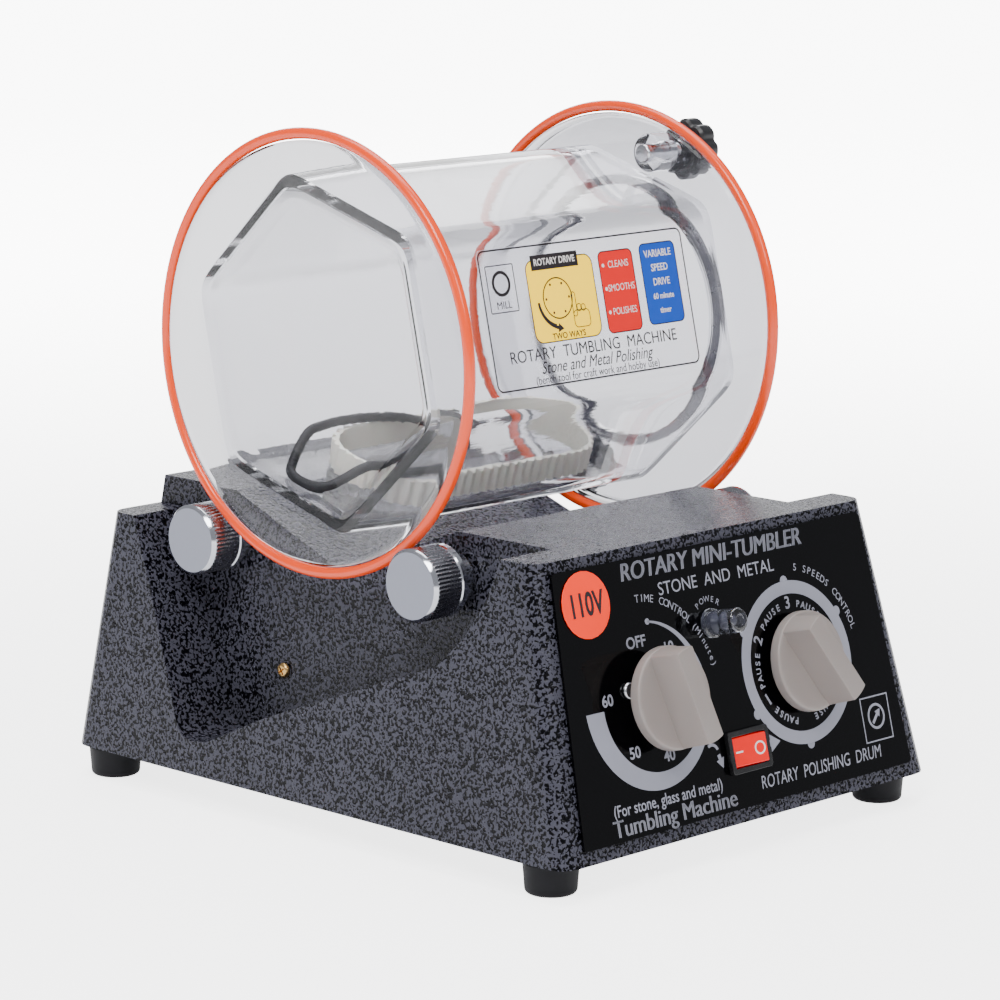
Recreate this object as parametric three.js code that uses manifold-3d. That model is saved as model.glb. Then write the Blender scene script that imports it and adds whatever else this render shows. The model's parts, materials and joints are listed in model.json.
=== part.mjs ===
// Rotary rock tumbler: a clear hexagonal barrel with two rubber-tired end discs turns on
// four knurled rollers over a drafted, hammertone-painted base that holds the drive,
// a timer and a speed switch. Lengths are in millimetres and +Z is up.
import * as THREE from 'three';
import { mergeVertices } from 'three/addons/utils/BufferGeometryUtils.js';
import Module from 'manifold-3d';

const wasm = await Module();
wasm.setup();

// ---------------------------------------------------------------- driving dimensions

const gap = 0.3;               // clearance between pieces that touch
const slip = 0.35;             // radial clearance around a turning shaft

const footHeight = 11.5;       // from the table to the rim of the base
const footTopRadius = 10;
const footBottomRadius = 9;
const footSideInset = 11.1;    // each foot's middle, in from the base's rim
const footFrontInset = 15.7;
const footRearInset = 11.5;
const footScrewRadius = 1.6;

const baseHalfLength = 97.9;   // along X, at the rim
const baseFront = 141.7;       // from the barrel's axis plane to the front rim
const baseRear = 111.5;
const baseHeight = 99.4;       // from the rim to the top of the front block
const baseTopHalfLength = 87;
const baseTopFront = 117;
const baseTopRear = 98.5;
const baseCorner = 9;          // how far each vertical corner is rounded back
const wall = 2.5;
const rearCheekHeight = 89;
const coverThickness = 1.5;

const pocketInset = 7.8;       // the end pockets' floor walls at the rim's height, in from each tire's middle
const pocketDraft = 0.093;     // how much nearer the middle they come per mm of height

const barrelHeight = 157.2;    // barrel axis above the base's rim
const barrelShift = 1.2;       // the barrel's middle lies this far along +X
const barrelHalfLength = 79;   // to the middle of each tire
const tireRadius = 78;         // to the middle of the tire's section
const tireSection = 2.05;
const flangeThickness = 4;
const hexRadius = 66;          // to the corners of the barrel's outside
const hexWall = 4;
const hexCorner = 7;           // how far each corner is rounded back
const hexTurn = 17;            // degrees: the first corner, from +Y towards +Z
const windowMargin = 8.3;      // from the barrel's corners in to the end window's
const windowDepth = 4;
const mouthRadius = 47;
const lidRadius = 74;
const lidThickness = 4;
const gasketWidth = 3.6;
const gasketThickness = 1.3;

const studAngle = 111.5;       // degrees: the first lid stud, from +Y towards +Z
const studCircle = 67.5;
const studRadius = 3;
const studHeadRadius = 3.5;
const bossRadius = 7.4;
const bossLength = 9;
const lidKnobRadius = 11.5;
const lidKnobHeight = 11.1;
const lidKnobLobes = 8;

const rollerRadius = 13.1;
const rollerY = 57.25;
const tireClearance = 0.252;   // between a tire and the rollers' largest radius
const rollerOverhang = 7;      // each roller's outer face, out from its tire's middle
const rollerBand = 11.5;       // knurled length
const collarClearance = 0.108; // between a collar and the leaning pocket wall, at the collar's lowest point
const collarRadius = 10.2;
const shaftRadius = 4;
const bearingRadius = 8;
const bearingFlange = 10.5;

const panelThickness = 1;
const knobRadius = 18;
const knobHeight = 16;
const knobDisc = 4.2;
const gripHalfWidth = 4.1;
const timerKnobBack = 8.5;     // how far each knob stands off the front face
const speedKnobBack = 4.5;
const timerAt = [-42.8, 49.5]; // along and up the sloping front face, from its bottom middle
const speedAt = [34.4, 50.3];
const lampAt = [-7, 70.6];
const rockerAt = [0, 24.7];
const stickerAt = [-67, 86];
const stickerRadius = 11.6;
const timerTurn = 104;         // degrees: the grips' directions at rest
const speedTurn = 122;
const lampRadius = 4.4;
const lampHeight = 14;         // how far the lens stands off the panel
const rockerSize = [16.4, 10.3];
const bezelSize = [21, 15];

const motorAt = [51, 36];      // Y and height above the rim
const motorRadius = 27;
const motorEndRoom = 27.2;     // from the motor's far end to the pocket wall, at the rim's height
const gearboxRadius = 23;
const gearboxLength = 13;
const motorFromBelt = 21;      // the face between gearbox and motor, from the belt
const motorPulleyRadius = 11;
const drivenPulleyRadius = 9;
const beltInset = 34;          // the belt's middle, in from the left tire's middle
const beltWidth = 8;
const beltThickness = 1.6;

const transformerAt = [20, -40];
const sideScrewAt = [26.3, 37.1];  // Y and height on each pocket's floor wall
const inletAt = [58, 30];      // X and height on the rear wall
const inletRadius = 6;

const ventSlots = 6;           // in the bottom cover, under the motor
const ventPitch = 9;
const ventLength = 34;

const labelSize = [106.5, 50.8];
const labelAt = [4.6, 0.9];    // along X and up the front facet, from the facet's middle

// ---------------------------------------------------------------- tools

const degrees = THREE.MathUtils.degToRad;
const lean = Math.atan2(baseFront - baseTopFront, baseHeight);
const wallAcross = wall * Math.cos(lean);
const hexApothem = hexRadius * Math.cos(Math.PI / 6);
const innerHexRadius = hexRadius - hexWall / Math.cos(Math.PI / 6);
const footX = baseHalfLength - footSideInset;
const footFrontY = footFrontInset - baseFront;
const footRearY = baseRear - footRearInset;
const windowRadius = hexRadius - windowMargin;
const tireReach = tireRadius + tireSection + tireClearance + rollerRadius;
const rollerHeight = barrelHeight - Math.sqrt(tireReach ** 2 - rollerY ** 2);
const rollerOuter = barrelHalfLength + rollerOverhang;
const pocketHalfBottom = barrelHalfLength - pocketInset;
const collarLow = rollerHeight - collarRadius;
const rollerInner = pocketHalfBottom - pocketDraft * collarLow + collarClearance;
const beltX = beltInset - barrelHalfLength;
const motorInner = beltX + motorFromBelt;
const motorLength = pocketHalfBottom - motorEndRoom - motorInner;

const along = (x, y, z) => new THREE.Matrix4().makeTranslation(x, y, z);
const basis = (x, y, z) =>
  new THREE.Matrix4().makeBasis(new THREE.Vector3(...x), new THREE.Vector3(...y), new THREE.Vector3(...z));
const yzToWorld = basis([0, 1, 0], [0, 0, 1], [1, 0, 0]);   // a drawing in Y and Z, thick along X
const xzToWorld = basis([1, 0, 0], [0, 0, 1], [0, -1, 0]);  // a drawing in X and Z, thick along -Y
const onPanel = new THREE.Matrix4().makeRotationX(Math.PI / 2 - lean).setPosition(0, -baseFront, 0);

function manifoldOf(geometry, ...matrices) {
  const bare = geometry.index ? geometry.toNonIndexed() : geometry.clone();
  bare.deleteAttribute('normal');
  bare.deleteAttribute('uv');
  for (const matrix of matrices) bare.applyMatrix4(matrix);
  const merged = mergeVertices(bare, 1e-4);
  return new wasm.Manifold(new wasm.Mesh({
    numProp: 3,
    vertProperties: merged.attributes.position.array,
    triVerts: new Uint32Array(merged.index.array),
  }));
}

function geometryOf(manifold) {
  const mesh = manifold.getMesh();
  const geometry = new THREE.BufferGeometry();
  geometry.setAttribute('position', new THREE.BufferAttribute(new Float32Array(mesh.vertProperties), 3));
  geometry.setIndex(new THREE.BufferAttribute(new Uint32Array(mesh.triVerts), 1));
  geometry.computeVertexNormals();
  return geometry;
}

/** A closed outline through corner points, each rounded back by the given length. */
function rounded(corners, back) {
  const shape = new THREE.Shape();
  corners.forEach((corner, i) => {
    const here = new THREE.Vector2(...corner);
    const corner2 = (k) => new THREE.Vector2(...corners.at(k % corners.length));
    const toward = (k) => corner2(k).sub(here).setLength(back).add(here);
    const before = toward(i - 1);
    const after = toward(i + 1);
    if (i === 0) shape.moveTo(before.x, before.y);
    else shape.lineTo(before.x, before.y);
    shape.quadraticCurveTo(here.x, here.y, after.x, after.y);
  });
  shape.closePath();
  return shape;
}

const outline = (points) => new THREE.Shape(points.map((p) => new THREE.Vector2(...p)));

const boxCorners = (width, height, x = 0, y = 0) => [
  [x - width / 2, y - height / 2], [x + width / 2, y - height / 2],
  [x + width / 2, y + height / 2], [x - width / 2, y + height / 2],
];

function circleShape(x, y, radius) {
  const shape = new THREE.Shape();
  shape.absarc(x, y, radius, 0, 2 * Math.PI, false);
  return shape;
}

/** An outline drawn flat and made thick from one height to another along its own Z. */
function slab(shape, low, high, curveSegments = 4) {
  return new THREE.ExtrudeGeometry(shape, { depth: high - low, bevelEnabled: false, curveSegments })
    .translate(0, 0, low);
}

/** A turned piece: [radius, place] points, about Z. */
function turned(profile, segments = 24) {
  return new THREE.LatheGeometry(profile.map((p) => new THREE.Vector2(...p)), segments).rotateX(Math.PI / 2);
}

/** The same about X. */
const turnedX = (profile, segments) => turned(profile, segments).rotateY(Math.PI / 2);

/** The closed section of a ring. */
const ringProfile = (inner, outer, low, high) =>
  [[inner, low], [outer, low], [outer, high], [inner, high], [inner, low]];

const rodProfile = (radius, low, high, edge = 0.4) => [
  [0, low], [radius - edge, low], [radius, low + edge], [radius, high - edge], [radius - edge, high], [0, high],
];

/** Points moved sideways, to the right of their direction, by a distance. */
function offset(points, distance) {
  return points.map((point, i) => {
    const here = new THREE.Vector2(...point);
    const before = new THREE.Vector2(...points[Math.max(i - 1, 0)]);
    const after = new THREE.Vector2(...points[Math.min(i + 1, points.length - 1)]);
    const sides = [[before, here], [here, after]]
      .map(([a, b]) => b.clone().sub(a))
      .filter((side) => side.length() > 0)
      .map((side) => side.normalize());
    const normals = sides.map((side) => new THREE.Vector2(side.y, -side.x));
    const mean = normals.reduce((a, b) => a.clone().add(b)).normalize();
    const reach = distance / mean.dot(normals[0]);
    return [here.x + mean.x * reach, here.y + mean.y * reach];
  });
}

/** The outline of a belt around two circles, grown by a distance. */
function beltShape([x1, y1], r1, [x2, y2], r2, grow = 0) {
  const heading = Math.atan2(y2 - y1, x2 - x1);
  const reach = Math.hypot(x2 - x1, y2 - y1);
  const spread = Math.acos((r1 - r2) / reach);
  const shape = new THREE.Shape();
  shape.absarc(x1, y1, r1 + grow, heading + spread, heading - spread + 2 * Math.PI, false);
  shape.absarc(x2, y2, r2 + grow, heading - spread, heading + spread, false);
  shape.closePath();
  return shape;
}

const hexCorners = (radius) => [0, 1, 2, 3, 4, 5].map((k) => {
  const angle = degrees(hexTurn + 60 * k);
  return [radius * Math.cos(angle), radius * Math.sin(angle)];
});

const polar = (radius, angle) => [radius * Math.cos(degrees(angle)), radius * Math.sin(degrees(angle))];

// ---------------------------------------------------------------- finishes

const finish = (color, roughness, metalness = 0, opacity = 1) => new THREE.MeshStandardMaterial({
  color, roughness, metalness, opacity, transparent: opacity < 1,
});
const hammertone = finish(0x2b2b31, 0.45, 0.3);
const blackRubber = finish(0x14141a, 0.8);
const steel = finish(0xb4b6be, 0.3, 1);
const chrome = finish(0xc4c7d0, 0.15, 1);
const brass = finish(0xb98a4a, 0.35, 1);
const glossBlack = finish(0x060608, 0.12);
const orangeRubber = finish(0xff4a1e, 0.35);
const knobPlastic = finish(0xa39a97, 0.5);
const redPlastic = finish(0xd8140c, 0.3);
const clearPlastic = finish(0xd8dae2, 0.06, 0, 0.3);
const blackPlastic = finish(0x101012, 0.4);
const creamRubber = finish(0xd9d8c8, 0.6);
const zincPlate = finish(0x8d9096, 0.4, 1);

const model = new THREE.Group();
const base = new THREE.Group();
base.position.z = footHeight;
const front = new THREE.Group();
front.applyMatrix4(onPanel);
const barrel = new THREE.Group();
barrel.position.set(barrelShift, 0, barrelHeight);
model.add(base);
base.add(front, barrel);

function part(parent, name, geometry, material) {
  const mesh = new THREE.Mesh(geometry, material);
  mesh.name = name;
  parent.add(mesh);
  return mesh;
}

// ---------------------------------------------------------------- base housing

// A flat-ended outline of the base, tapered as it rises by the draft of its four sides.
function draftedBlock(inset, low, high) {
  const corners = [
    [-baseHalfLength + inset, -baseFront + inset], [baseHalfLength - inset, -baseFront + inset],
    [baseHalfLength - inset, baseRear - inset], [-baseHalfLength + inset, baseRear - inset],
  ];
  const block = slab(rounded(corners, baseCorner - inset / 2), low, high);
  const place = block.attributes.position;
  for (let i = 0; i < place.count; i++) {
    const up = place.getZ(i) / baseHeight;
    const halfLength = THREE.MathUtils.lerp(baseHalfLength, baseTopHalfLength, up) - inset;
    const frontY = THREE.MathUtils.lerp(baseFront, baseTopFront, up) - inset;
    const rearY = THREE.MathUtils.lerp(baseRear, baseTopRear, up) - inset;
    const share = (place.getY(i) + baseFront - inset) / (baseFront + baseRear - 2 * inset);
    place.setXY(i, place.getX(i) * halfLength / (baseHalfLength - inset), share * (frontY + rearY) - frontY);
  }
  return manifoldOf(block);
}

// Each end is hollowed for its pair of rollers. The floor wall leans with the draft.
const pocketEdge = [
  [-101.9, baseHeight], [-96.8, 84.9], [-87.4, 70.2], [-75.8, 58.9], [7, 27.3], [32.5, 15.4],
  [38.5, 12.7], [45.4, 12.1], [50.6, 13], [53.6, 15.6], [74, 63.2], [86.2, rearCheekHeight],
];
const above = baseHeight + 30;

function pocketCutter(grow) {
  const edge = offset(pocketEdge, grow);
  const lift = grow;
  const shape = outline([
    [edge[0][0], above], ...edge, [baseRear + 20, rearCheekHeight - lift], [baseRear + 20, above],
  ]);
  const reach = baseHalfLength + 20;
  const sweep = manifoldOf(slab(shape, -reach, reach), yzToWorld);
  const half = (height) => pocketHalfBottom - grow - pocketDraft * height;
  const middle = outline([[-half(-1), -1], [half(-1), -1], [half(above), above], [-half(above), above]]);
  return sweep.subtract(manifoldOf(slab(middle, -baseRear - 30, baseFront + 30), xzToWorld));
}

// The middle block is dished so that the barrel's corners clear it.
const dishEdge = [[55.5, 98.7], [46, 95.2], [25, 87.3], [3.8, 79.6], [0, 78.9]];

function dishCutter(grow) {
  const right = dishEdge.map(([y, height]) => [y, height - grow]);
  const left = right.slice(0, -1).reverse().map(([y, height]) => [-y, height]);
  const [edgeY, edgeHeight] = right[0];
  const reach = baseHalfLength + 20;
  const shape = outline([
    [-edgeY - 1.9, edgeHeight + 0.7], ...left.reverse(), ...right.slice().reverse(),
    [edgeY + 1.9, edgeHeight + 0.7], [edgeY + 1.9, above], [-edgeY - 1.9, above],
  ]);
  return manifoldOf(slab(shape, -reach, reach), yzToWorld);
}

const shaftPlaces = [-rollerY, rollerY];

function baseHousing() {
  let shell = draftedBlock(0, 0, baseHeight).subtract(pocketCutter(0)).subtract(dishCutter(0));
  const hollow = draftedBlock(wall, -1, baseHeight - wall)
    .subtract(pocketCutter(wall))
    .subtract(dishCutter(wall));
  shell = shell.subtract(hollow);
  for (const y of shaftPlaces) {
    const bore = turnedX(rodProfile(bearingRadius + gap, -baseHalfLength, baseHalfLength), 24);
    shell = shell.subtract(manifoldOf(bore, along(0, y, rollerHeight)));
  }
  const through = (shape) => manifoldOf(slab(shape, -wall * 3, wall * 3, 6), onPanel);
  shell = shell
    .subtract(through(circleShape(...timerAt, timerBushRadius + gap)))
    .subtract(through(circleShape(...speedAt, speedBushRadius + gap)))
    .subtract(through(circleShape(...lampAt, lampBodyRadius + gap)))
    .subtract(through(outline(boxCorners(...switchBody.map((size) => size + 2 * gap), ...rockerAt))));
  for (const screw of timerScrews) {
    shell = shell.subtract(through(circleShape(...screw, timerScrewRadius + gap)));
  }
  const [screwY, screwHeight] = sideScrewAt;
  const screwBore = turnedX(rodProfile(sideScrewRadius + gap, -baseHalfLength, baseHalfLength), 12);
  shell = shell.subtract(manifoldOf(screwBore, along(0, screwY, screwHeight)));
  return shell.subtract(inletBore(inletRadius + gap));
}

// ---------------------------------------------------------------- front panel fittings

const timerBushRadius = 5;
const speedBushRadius = 4.6;
const spindleRadius = 3;
const lampBodyRadius = 3.9;
const switchBody = [18.9, 12.9];
const timerScrewRadius = 1.5;
const timerScrewCircle = 11.5;
const timerScrews = [158, -22].map((angle) => {
  const [u, w] = polar(timerScrewCircle, angle);
  return [timerAt[0] + u, timerAt[1] + w];
});
const sideScrewRadius = 1.5;
const panelBack = gap;
const panelFace = panelBack + panelThickness;
const behind = -wallAcross - gap;      // just inside the front wall

function controlPanel() {
  const low = 5;
  const high = 98.5;
  const sheet = rounded([[-87, low], [87, low], [80.5, high], [-80.5, high]], 2);
  sheet.holes.push(
    circleShape(...timerAt, timerBushRadius + gap), circleShape(...speedAt, speedBushRadius + gap),
    circleShape(...lampAt, lampBodyRadius + gap),
    outline(boxCorners(...switchBody.map((size) => size + 2 * gap), ...rockerAt)),
    ...timerScrews.map((screw) => circleShape(...screw, timerScrewRadius + gap)),
  );
  return slab(sheet, panelBack, panelFace, 6);
}

/** A pointer knob: a rimmed disc with a grip bar across it, open behind for its spindle. */
function pointerKnob(back) {
  const face = back + knobDisc;
  const top = back + knobHeight;
  const disc = turned([
    [0, back], [knobRadius - 0.4, back], [knobRadius, back + 0.5], [knobRadius - 0.2, face - 0.8],
    [knobRadius - 1, face], [0, face - 0.6],
  ], 36);
  const foot = gripHalfWidth + 0.9;
  const bar = outline([[-foot, back + 1], [foot, back + 1], [gripHalfWidth, top], [-gripHalfWidth, top]]);
  const grip = manifoldOf(slab(bar, -knobRadius, knobRadius), xzToWorld);
  const trim = turned([[0, back], [knobRadius, back], [knobRadius - 1, top + 1], [0, top + 1]], 36);
  const socket = turned(rodProfile(spindleRadius + gap, back - 1, top - knobCrown), 12);
  return geometryOf(manifoldOf(disc).add(grip.intersect(manifoldOf(trim))).subtract(manifoldOf(socket))
    .rotate([0, 0, 90]));
}

const knobCrown = 4;           // solid plastic over the end of each spindle
const spindleEnd = (back) => back + knobHeight - knobCrown - 1;

function spindle(low, high, flat) {
  const rod = manifoldOf(turned(rodProfile(spindleRadius, low, high), 12));
  const beside = boxCorners(4 * spindleRadius, spindleRadius, 0, spindleRadius * 1.1);
  const cut = slab(outline(beside), flat, high + 1);
  return geometryOf(rod.subtract(manifoldOf(cut)));
}

/** A block behind the panel with a threaded bush through the wall and a bore for its spindle. */
function boxedUnit(width, depth, bushRadius) {
  const top = panelFace + 2.4;
  const body = manifoldOf(slab(rounded(boxCorners(width, width), 3), behind - depth, behind));
  const bush = manifoldOf(turned(rodProfile(bushRadius, behind - 2, top), 16));
  const bore = manifoldOf(turned(rodProfile(spindleRadius + slip, behind - depth * 0.7, top + 1), 12));
  return body.add(bush).subtract(bore);
}

function timerUnit() {
  let unit = boxedUnit(38, 27, timerBushRadius);
  for (const [u, w] of timerScrews) {
    const bore = turned(rodProfile(timerScrewRadius + gap, behind - 7, behind + 1), 8);
    unit = unit.subtract(manifoldOf(bore, along(u - timerAt[0], w - timerAt[1], 0)));
  }
  return geometryOf(unit);
}

function timerScrew() {
  const top = panelFace + gap;
  return turned([
    [0, behind - 5], [timerScrewRadius, behind - 5], [timerScrewRadius, top], [3, top], [3, top + 0.9],
    [1.6, top + 1.8], [0, top + 1.8],
  ], 10);
}

function placeOnPanel(mesh, [u, w], turn = 0) {
  mesh.position.set(u, w, 0);
  mesh.rotation.z = degrees(turn);
  return mesh;
}

part(front, 'control_panel', controlPanel(), glossBlack);
const sticker = slab(circleShape(...stickerAt, stickerRadius), panelFace + gap, panelFace + gap + 0.3, 12);
part(front, 'voltage_sticker', sticker, orangeRubber);

placeOnPanel(part(front, 'timer_unit', timerUnit(), zincPlate), timerAt);
const timerSpindle = spindle(behind - 18, spindleEnd(timerKnobBack), timerKnobBack);
placeOnPanel(part(front, 'timer_spindle', timerSpindle, steel), timerAt);
placeOnPanel(part(front, 'timer_knob', pointerKnob(timerKnobBack), knobPlastic), timerAt, timerTurn);
timerScrews.forEach((screw, i) =>
  placeOnPanel(part(front, `timer_screw_${i + 1}`, timerScrew(), steel), screw));

const speedSwitch = geometryOf(boxedUnit(30, 20, speedBushRadius));
placeOnPanel(part(front, 'speed_switch', speedSwitch, blackPlastic), speedAt);
const speedSpindle = spindle(behind - 13, spindleEnd(speedKnobBack), speedKnobBack);
placeOnPanel(part(front, 'speed_spindle', speedSpindle, steel), speedAt);
placeOnPanel(part(front, 'speed_knob', pointerKnob(speedKnobBack), knobPlastic), speedAt, speedTurn);

const lampProfile = [
  [0, behind - 8], [lampBodyRadius, behind - 8], [lampBodyRadius, panelFace + gap], [5.2, panelFace + gap],
  [5.2, panelFace + 1.4], [lampRadius, panelFace + 1.8], [lampRadius, panelFace + lampHeight - 0.6],
  [lampRadius - 0.8, panelFace + lampHeight - 0.1], [0, panelFace + lampHeight],
];
placeOnPanel(part(front, 'pilot_lamp', turned(lampProfile, 20), clearPlastic), lampAt);

// The rocker switch: a snap-in body with a bezel, and the red rocker turning in it.
const bezelTop = panelFace + gap + 2;
const rockerSlip = 0.4;
const rockerPivot = panelFace - 2.5;
const rockerTilt = 7;          // degrees each way from level
const rockerDish = 3;          // how steeply each half of its face rises from the middle

function switchHousing() {
  const body = manifoldOf(slab(outline(boxCorners(...switchBody)), behind - 14, panelFace + gap + 1));
  const bezel = manifoldOf(slab(rounded(boxCorners(...bezelSize), 1.5), panelFace + gap, bezelTop));
  const opening = outline(boxCorners(...rockerSize.map((size) => size + 2 * rockerSlip)));
  return geometryOf(body.add(bezel).subtract(manifoldOf(slab(opening, behind - 8, bezelTop + 1))));
}

/** Seen from the side the rocker is a shallow V on top and a half round below its pivot. */
function rocker() {
  const half = rockerSize[0] / 2;
  const rise = Math.tan(degrees(rockerDish));
  const dip = bezelTop - rockerPivot + 0.2;
  const peak = dip + half * rise;
  const side = new THREE.Shape();
  side.moveTo(-half + peak * rise, peak);
  side.lineTo(-half, 0);
  side.quadraticCurveTo(-half * 0.7, -4.5, 0, -5);
  side.quadraticCurveTo(half * 0.7, -4.5, half, 0);
  side.lineTo(half - peak * rise, peak);
  side.lineTo(0, dip);
  side.closePath();
  const width = rockerSize[1];
  return slab(side, -width / 2, width / 2, 4).applyMatrix4(xzToWorld);
}
placeOnPanel(part(front, 'switch_housing', switchHousing(), blackPlastic), rockerAt);
const rockerButton = placeOnPanel(part(front, 'rocker_button', rocker(), redPlastic), rockerAt);
rockerButton.position.z = rockerPivot;
rockerButton.rotation.y = -degrees(rockerTilt);

// ---------------------------------------------------------------- cord inlet and side screws

const rearLean = Math.atan2(baseRear - baseTopRear, baseHeight);
const [rearSine, rearCosine] = [Math.sin(rearLean), Math.cos(rearLean)];
const inletPlace = basis([-1, 0, 0], [0, -rearSine, rearCosine], [0, rearCosine, rearSine])
  .setPosition(inletAt[0], baseRear - inletAt[1] * Math.tan(rearLean), inletAt[1]);

const inletBore = (radius) => manifoldOf(turned(rodProfile(radius, -wall * 3, wall * 3), 16), inletPlace);

// A split-lip grommet: one flange outside the wall, one inside, and a bore for the lead.
const grommet = turned([
  [3.4, -wall - 3], [inletRadius, -wall - 3], [inletRadius + 1.6, -wall - 2], [inletRadius + 1.6, -wall - gap],
  [inletRadius, -wall - gap], [inletRadius, gap], [inletRadius + 2.4, gap], [inletRadius + 2, 2],
  [5, 5], [3.4, 5], [3.4, -wall - 3],
], 16);

part(base, 'base_housing', geometryOf(baseHousing()), hammertone);
part(base, 'cord_grommet', grommet, blackRubber).applyMatrix4(inletPlace);

const pocketWallX = (height) => pocketHalfBottom - pocketDraft * height;

const sideScrewProfile = [
  [0, -9], [sideScrewRadius, -9], [sideScrewRadius, gap + 0.2], [2.9, gap + 0.2], [2.9, gap + 0.8],
  [1.8, gap + 1.9], [0, gap + 1.9],
];
for (const [name, side] of [['left', -1], ['right', 1]]) {
  const screw = part(base, `side_screw_${name}`, turned(sideScrewProfile, 10), brass);
  screw.position.set(side * pocketWallX(sideScrewAt[1]), ...sideScrewAt);
  screw.rotation.y = side * Math.PI / 2;
}

// ---------------------------------------------------------------- bottom cover and feet

const corners4 = [
  ['front_left', -footX, footFrontY], ['front_right', footX, footFrontY],
  ['rear_left', -footX, footRearY], ['rear_right', footX, footRearY],
];

function bottomCover() {
  const inset = wall + 2 * gap;
  const plate = rounded([
    [-baseHalfLength + inset, -baseFront + inset], [baseHalfLength - inset, -baseFront + inset],
    [baseHalfLength - inset, baseRear - inset], [-baseHalfLength + inset, baseRear - inset],
  ], baseCorner);
  let cover = manifoldOf(slab(plate, gap / 2, gap / 2 + coverThickness));
  const through = (shape) => manifoldOf(slab(shape, -1, coverThickness + 1));
  for (const [, x, y] of corners4) cover = cover.subtract(through(circleShape(x, y, footScrewRadius + gap)));
  for (let i = 0; i < ventSlots; i++) {
    const x = (i - (ventSlots - 1) / 2) * ventPitch;
    cover = cover.subtract(through(outline(boxCorners(ventPitch * 0.4, ventLength, x, motorAt[0]))));
  }
  return geometryOf(cover);
}
part(base, 'bottom_cover', bottomCover(), zincPlate);

// Moulded foot: tapering, with a rounded lower edge and a recess for its screw's head.
const footProfile = [
  [footScrewRadius + gap, 5], [3.9, 5], [3.9, 0], [footBottomRadius - 1.8, 0], [footBottomRadius - 0.5, 0.6],
  [footBottomRadius, 1.9], [footTopRadius, footHeight - gap], [footScrewRadius + gap, footHeight - gap],
  [footScrewRadius + gap, 5],
];
const footScrewTop = coverThickness + footHeight + 5;
const footScrewProfile = [
  [0, 2.2], [3, 2.2], [3.3, 2.8], [3.3, 5 - gap], [footScrewRadius, 5 - gap], [footScrewRadius, footScrewTop],
  [0, footScrewTop],
];
for (const [name, x, y] of corners4) {
  part(model, `foot_${name}`, turned(footProfile, 20), blackRubber).position.set(x, y, 0);
  part(model, `foot_screw_${name}`, turned(footScrewProfile, 8), steel).position.set(x, y, 0);
}

// ---------------------------------------------------------------- shafts, bearings, rollers

// Bearings stand in the leaning pocket walls, with their flanges inside.
const wallAtShaft = pocketWallX(rollerHeight);
const flangeOuter = wallAtShaft - wall - pocketDraft * bearingFlange - gap;
const bearingEnd = rollerInner - 2 * gap;
const bearingProfile = [
  [shaftRadius + slip, flangeOuter - 4], [bearingFlange, flangeOuter - 4], [bearingFlange, flangeOuter],
  [bearingRadius, flangeOuter], [bearingRadius, bearingEnd], [shaftRadius + slip, bearingEnd],
  [shaftRadius + slip, flangeOuter - 4],
];

// Roller, from the outside in: bevelled cap, knurled band in a shallow groove, flange ring, collar.
const bandOuter = rollerOuter - 1.6;
const bandInner = bandOuter - rollerBand;
const ringInner = bandInner - 3.2;
const shaftEnd = rollerOuter - 4;
const rollerProfile = [
  [0, rollerOuter], [rollerRadius - 1.2, rollerOuter], [rollerRadius, rollerOuter - 1.2],
  [rollerRadius, bandOuter], [rollerRadius - 0.3, bandOuter - 0.3], [rollerRadius - 0.3, bandInner + 0.3],
  [rollerRadius, bandInner], [rollerRadius, ringInner + 0.6], [rollerRadius - 0.6, ringInner],
  [collarRadius, ringInner], [collarRadius, rollerInner], [shaftRadius + gap, rollerInner],
  [shaftRadius + gap, shaftEnd + gap], [0, shaftEnd + gap],
].reverse();
const setScrewX = (rollerInner + ringInner) / 2;
const setScrewRadius = 2;

function roller() {
  const body = manifoldOf(turnedX(rollerProfile, 26));
  const bore = turned(rodProfile(setScrewRadius + gap, 0, rollerRadius), 8);
  return geometryOf(body.subtract(manifoldOf(bore, along(setScrewX, 0, 0))));
}
const setScrewProfile = [
  [0, shaftRadius + gap], [setScrewRadius, shaftRadius + gap], [setScrewRadius, collarRadius - 1.4],
  [1, collarRadius - 1.4], [1, collarRadius - 2.8], [0, collarRadius - 2.8],
];

for (const [row, y] of [['front', -rollerY], ['rear', rollerY]]) {
  const shaft = turnedX(rodProfile(shaftRadius, -shaftEnd, shaftEnd), 16);
  part(base, `${row}_shaft`, shaft, steel).position.set(0, y, rollerHeight);
  for (const [side, sign] of [['left', -1], ['right', 1]]) {
    const spot = new THREE.Group();
    spot.position.set(0, y, rollerHeight);
    spot.rotation.z = sign < 0 ? Math.PI : 0;
    base.add(spot);
    part(spot, `bearing_${row}_${side}`, turnedX(bearingProfile, 16), brass);
    part(spot, `roller_${row}_${side}`, roller(), chrome);
    part(spot, `set_screw_${row}_${side}`, turned(setScrewProfile, 8), steel).position.x = setScrewX;
  }
}

// ---------------------------------------------------------------- drive

// The gear motor turns a toothed pulley, and a belt carries the drive up to the front shaft.
const shaftOut = motorInner - gearboxLength;
const motorShaftRadius = 3;
const motorShaftEnd = beltX - beltWidth / 2 - 3;
const motorProfile = [
  [0, motorShaftEnd], [motorShaftRadius, motorShaftEnd], [motorShaftRadius, shaftOut - 2],
  [8, shaftOut - 2], [8, shaftOut],
  [gearboxRadius, shaftOut], [gearboxRadius, motorInner], [motorRadius, motorInner],
  [motorRadius, motorInner + motorLength], [8, motorInner + motorLength], [8, motorInner + motorLength + 3],
  [0, motorInner + motorLength + 3],
];
part(base, 'gear_motor', turnedX(motorProfile, 24), zincPlate).position.set(0, ...motorAt);

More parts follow.
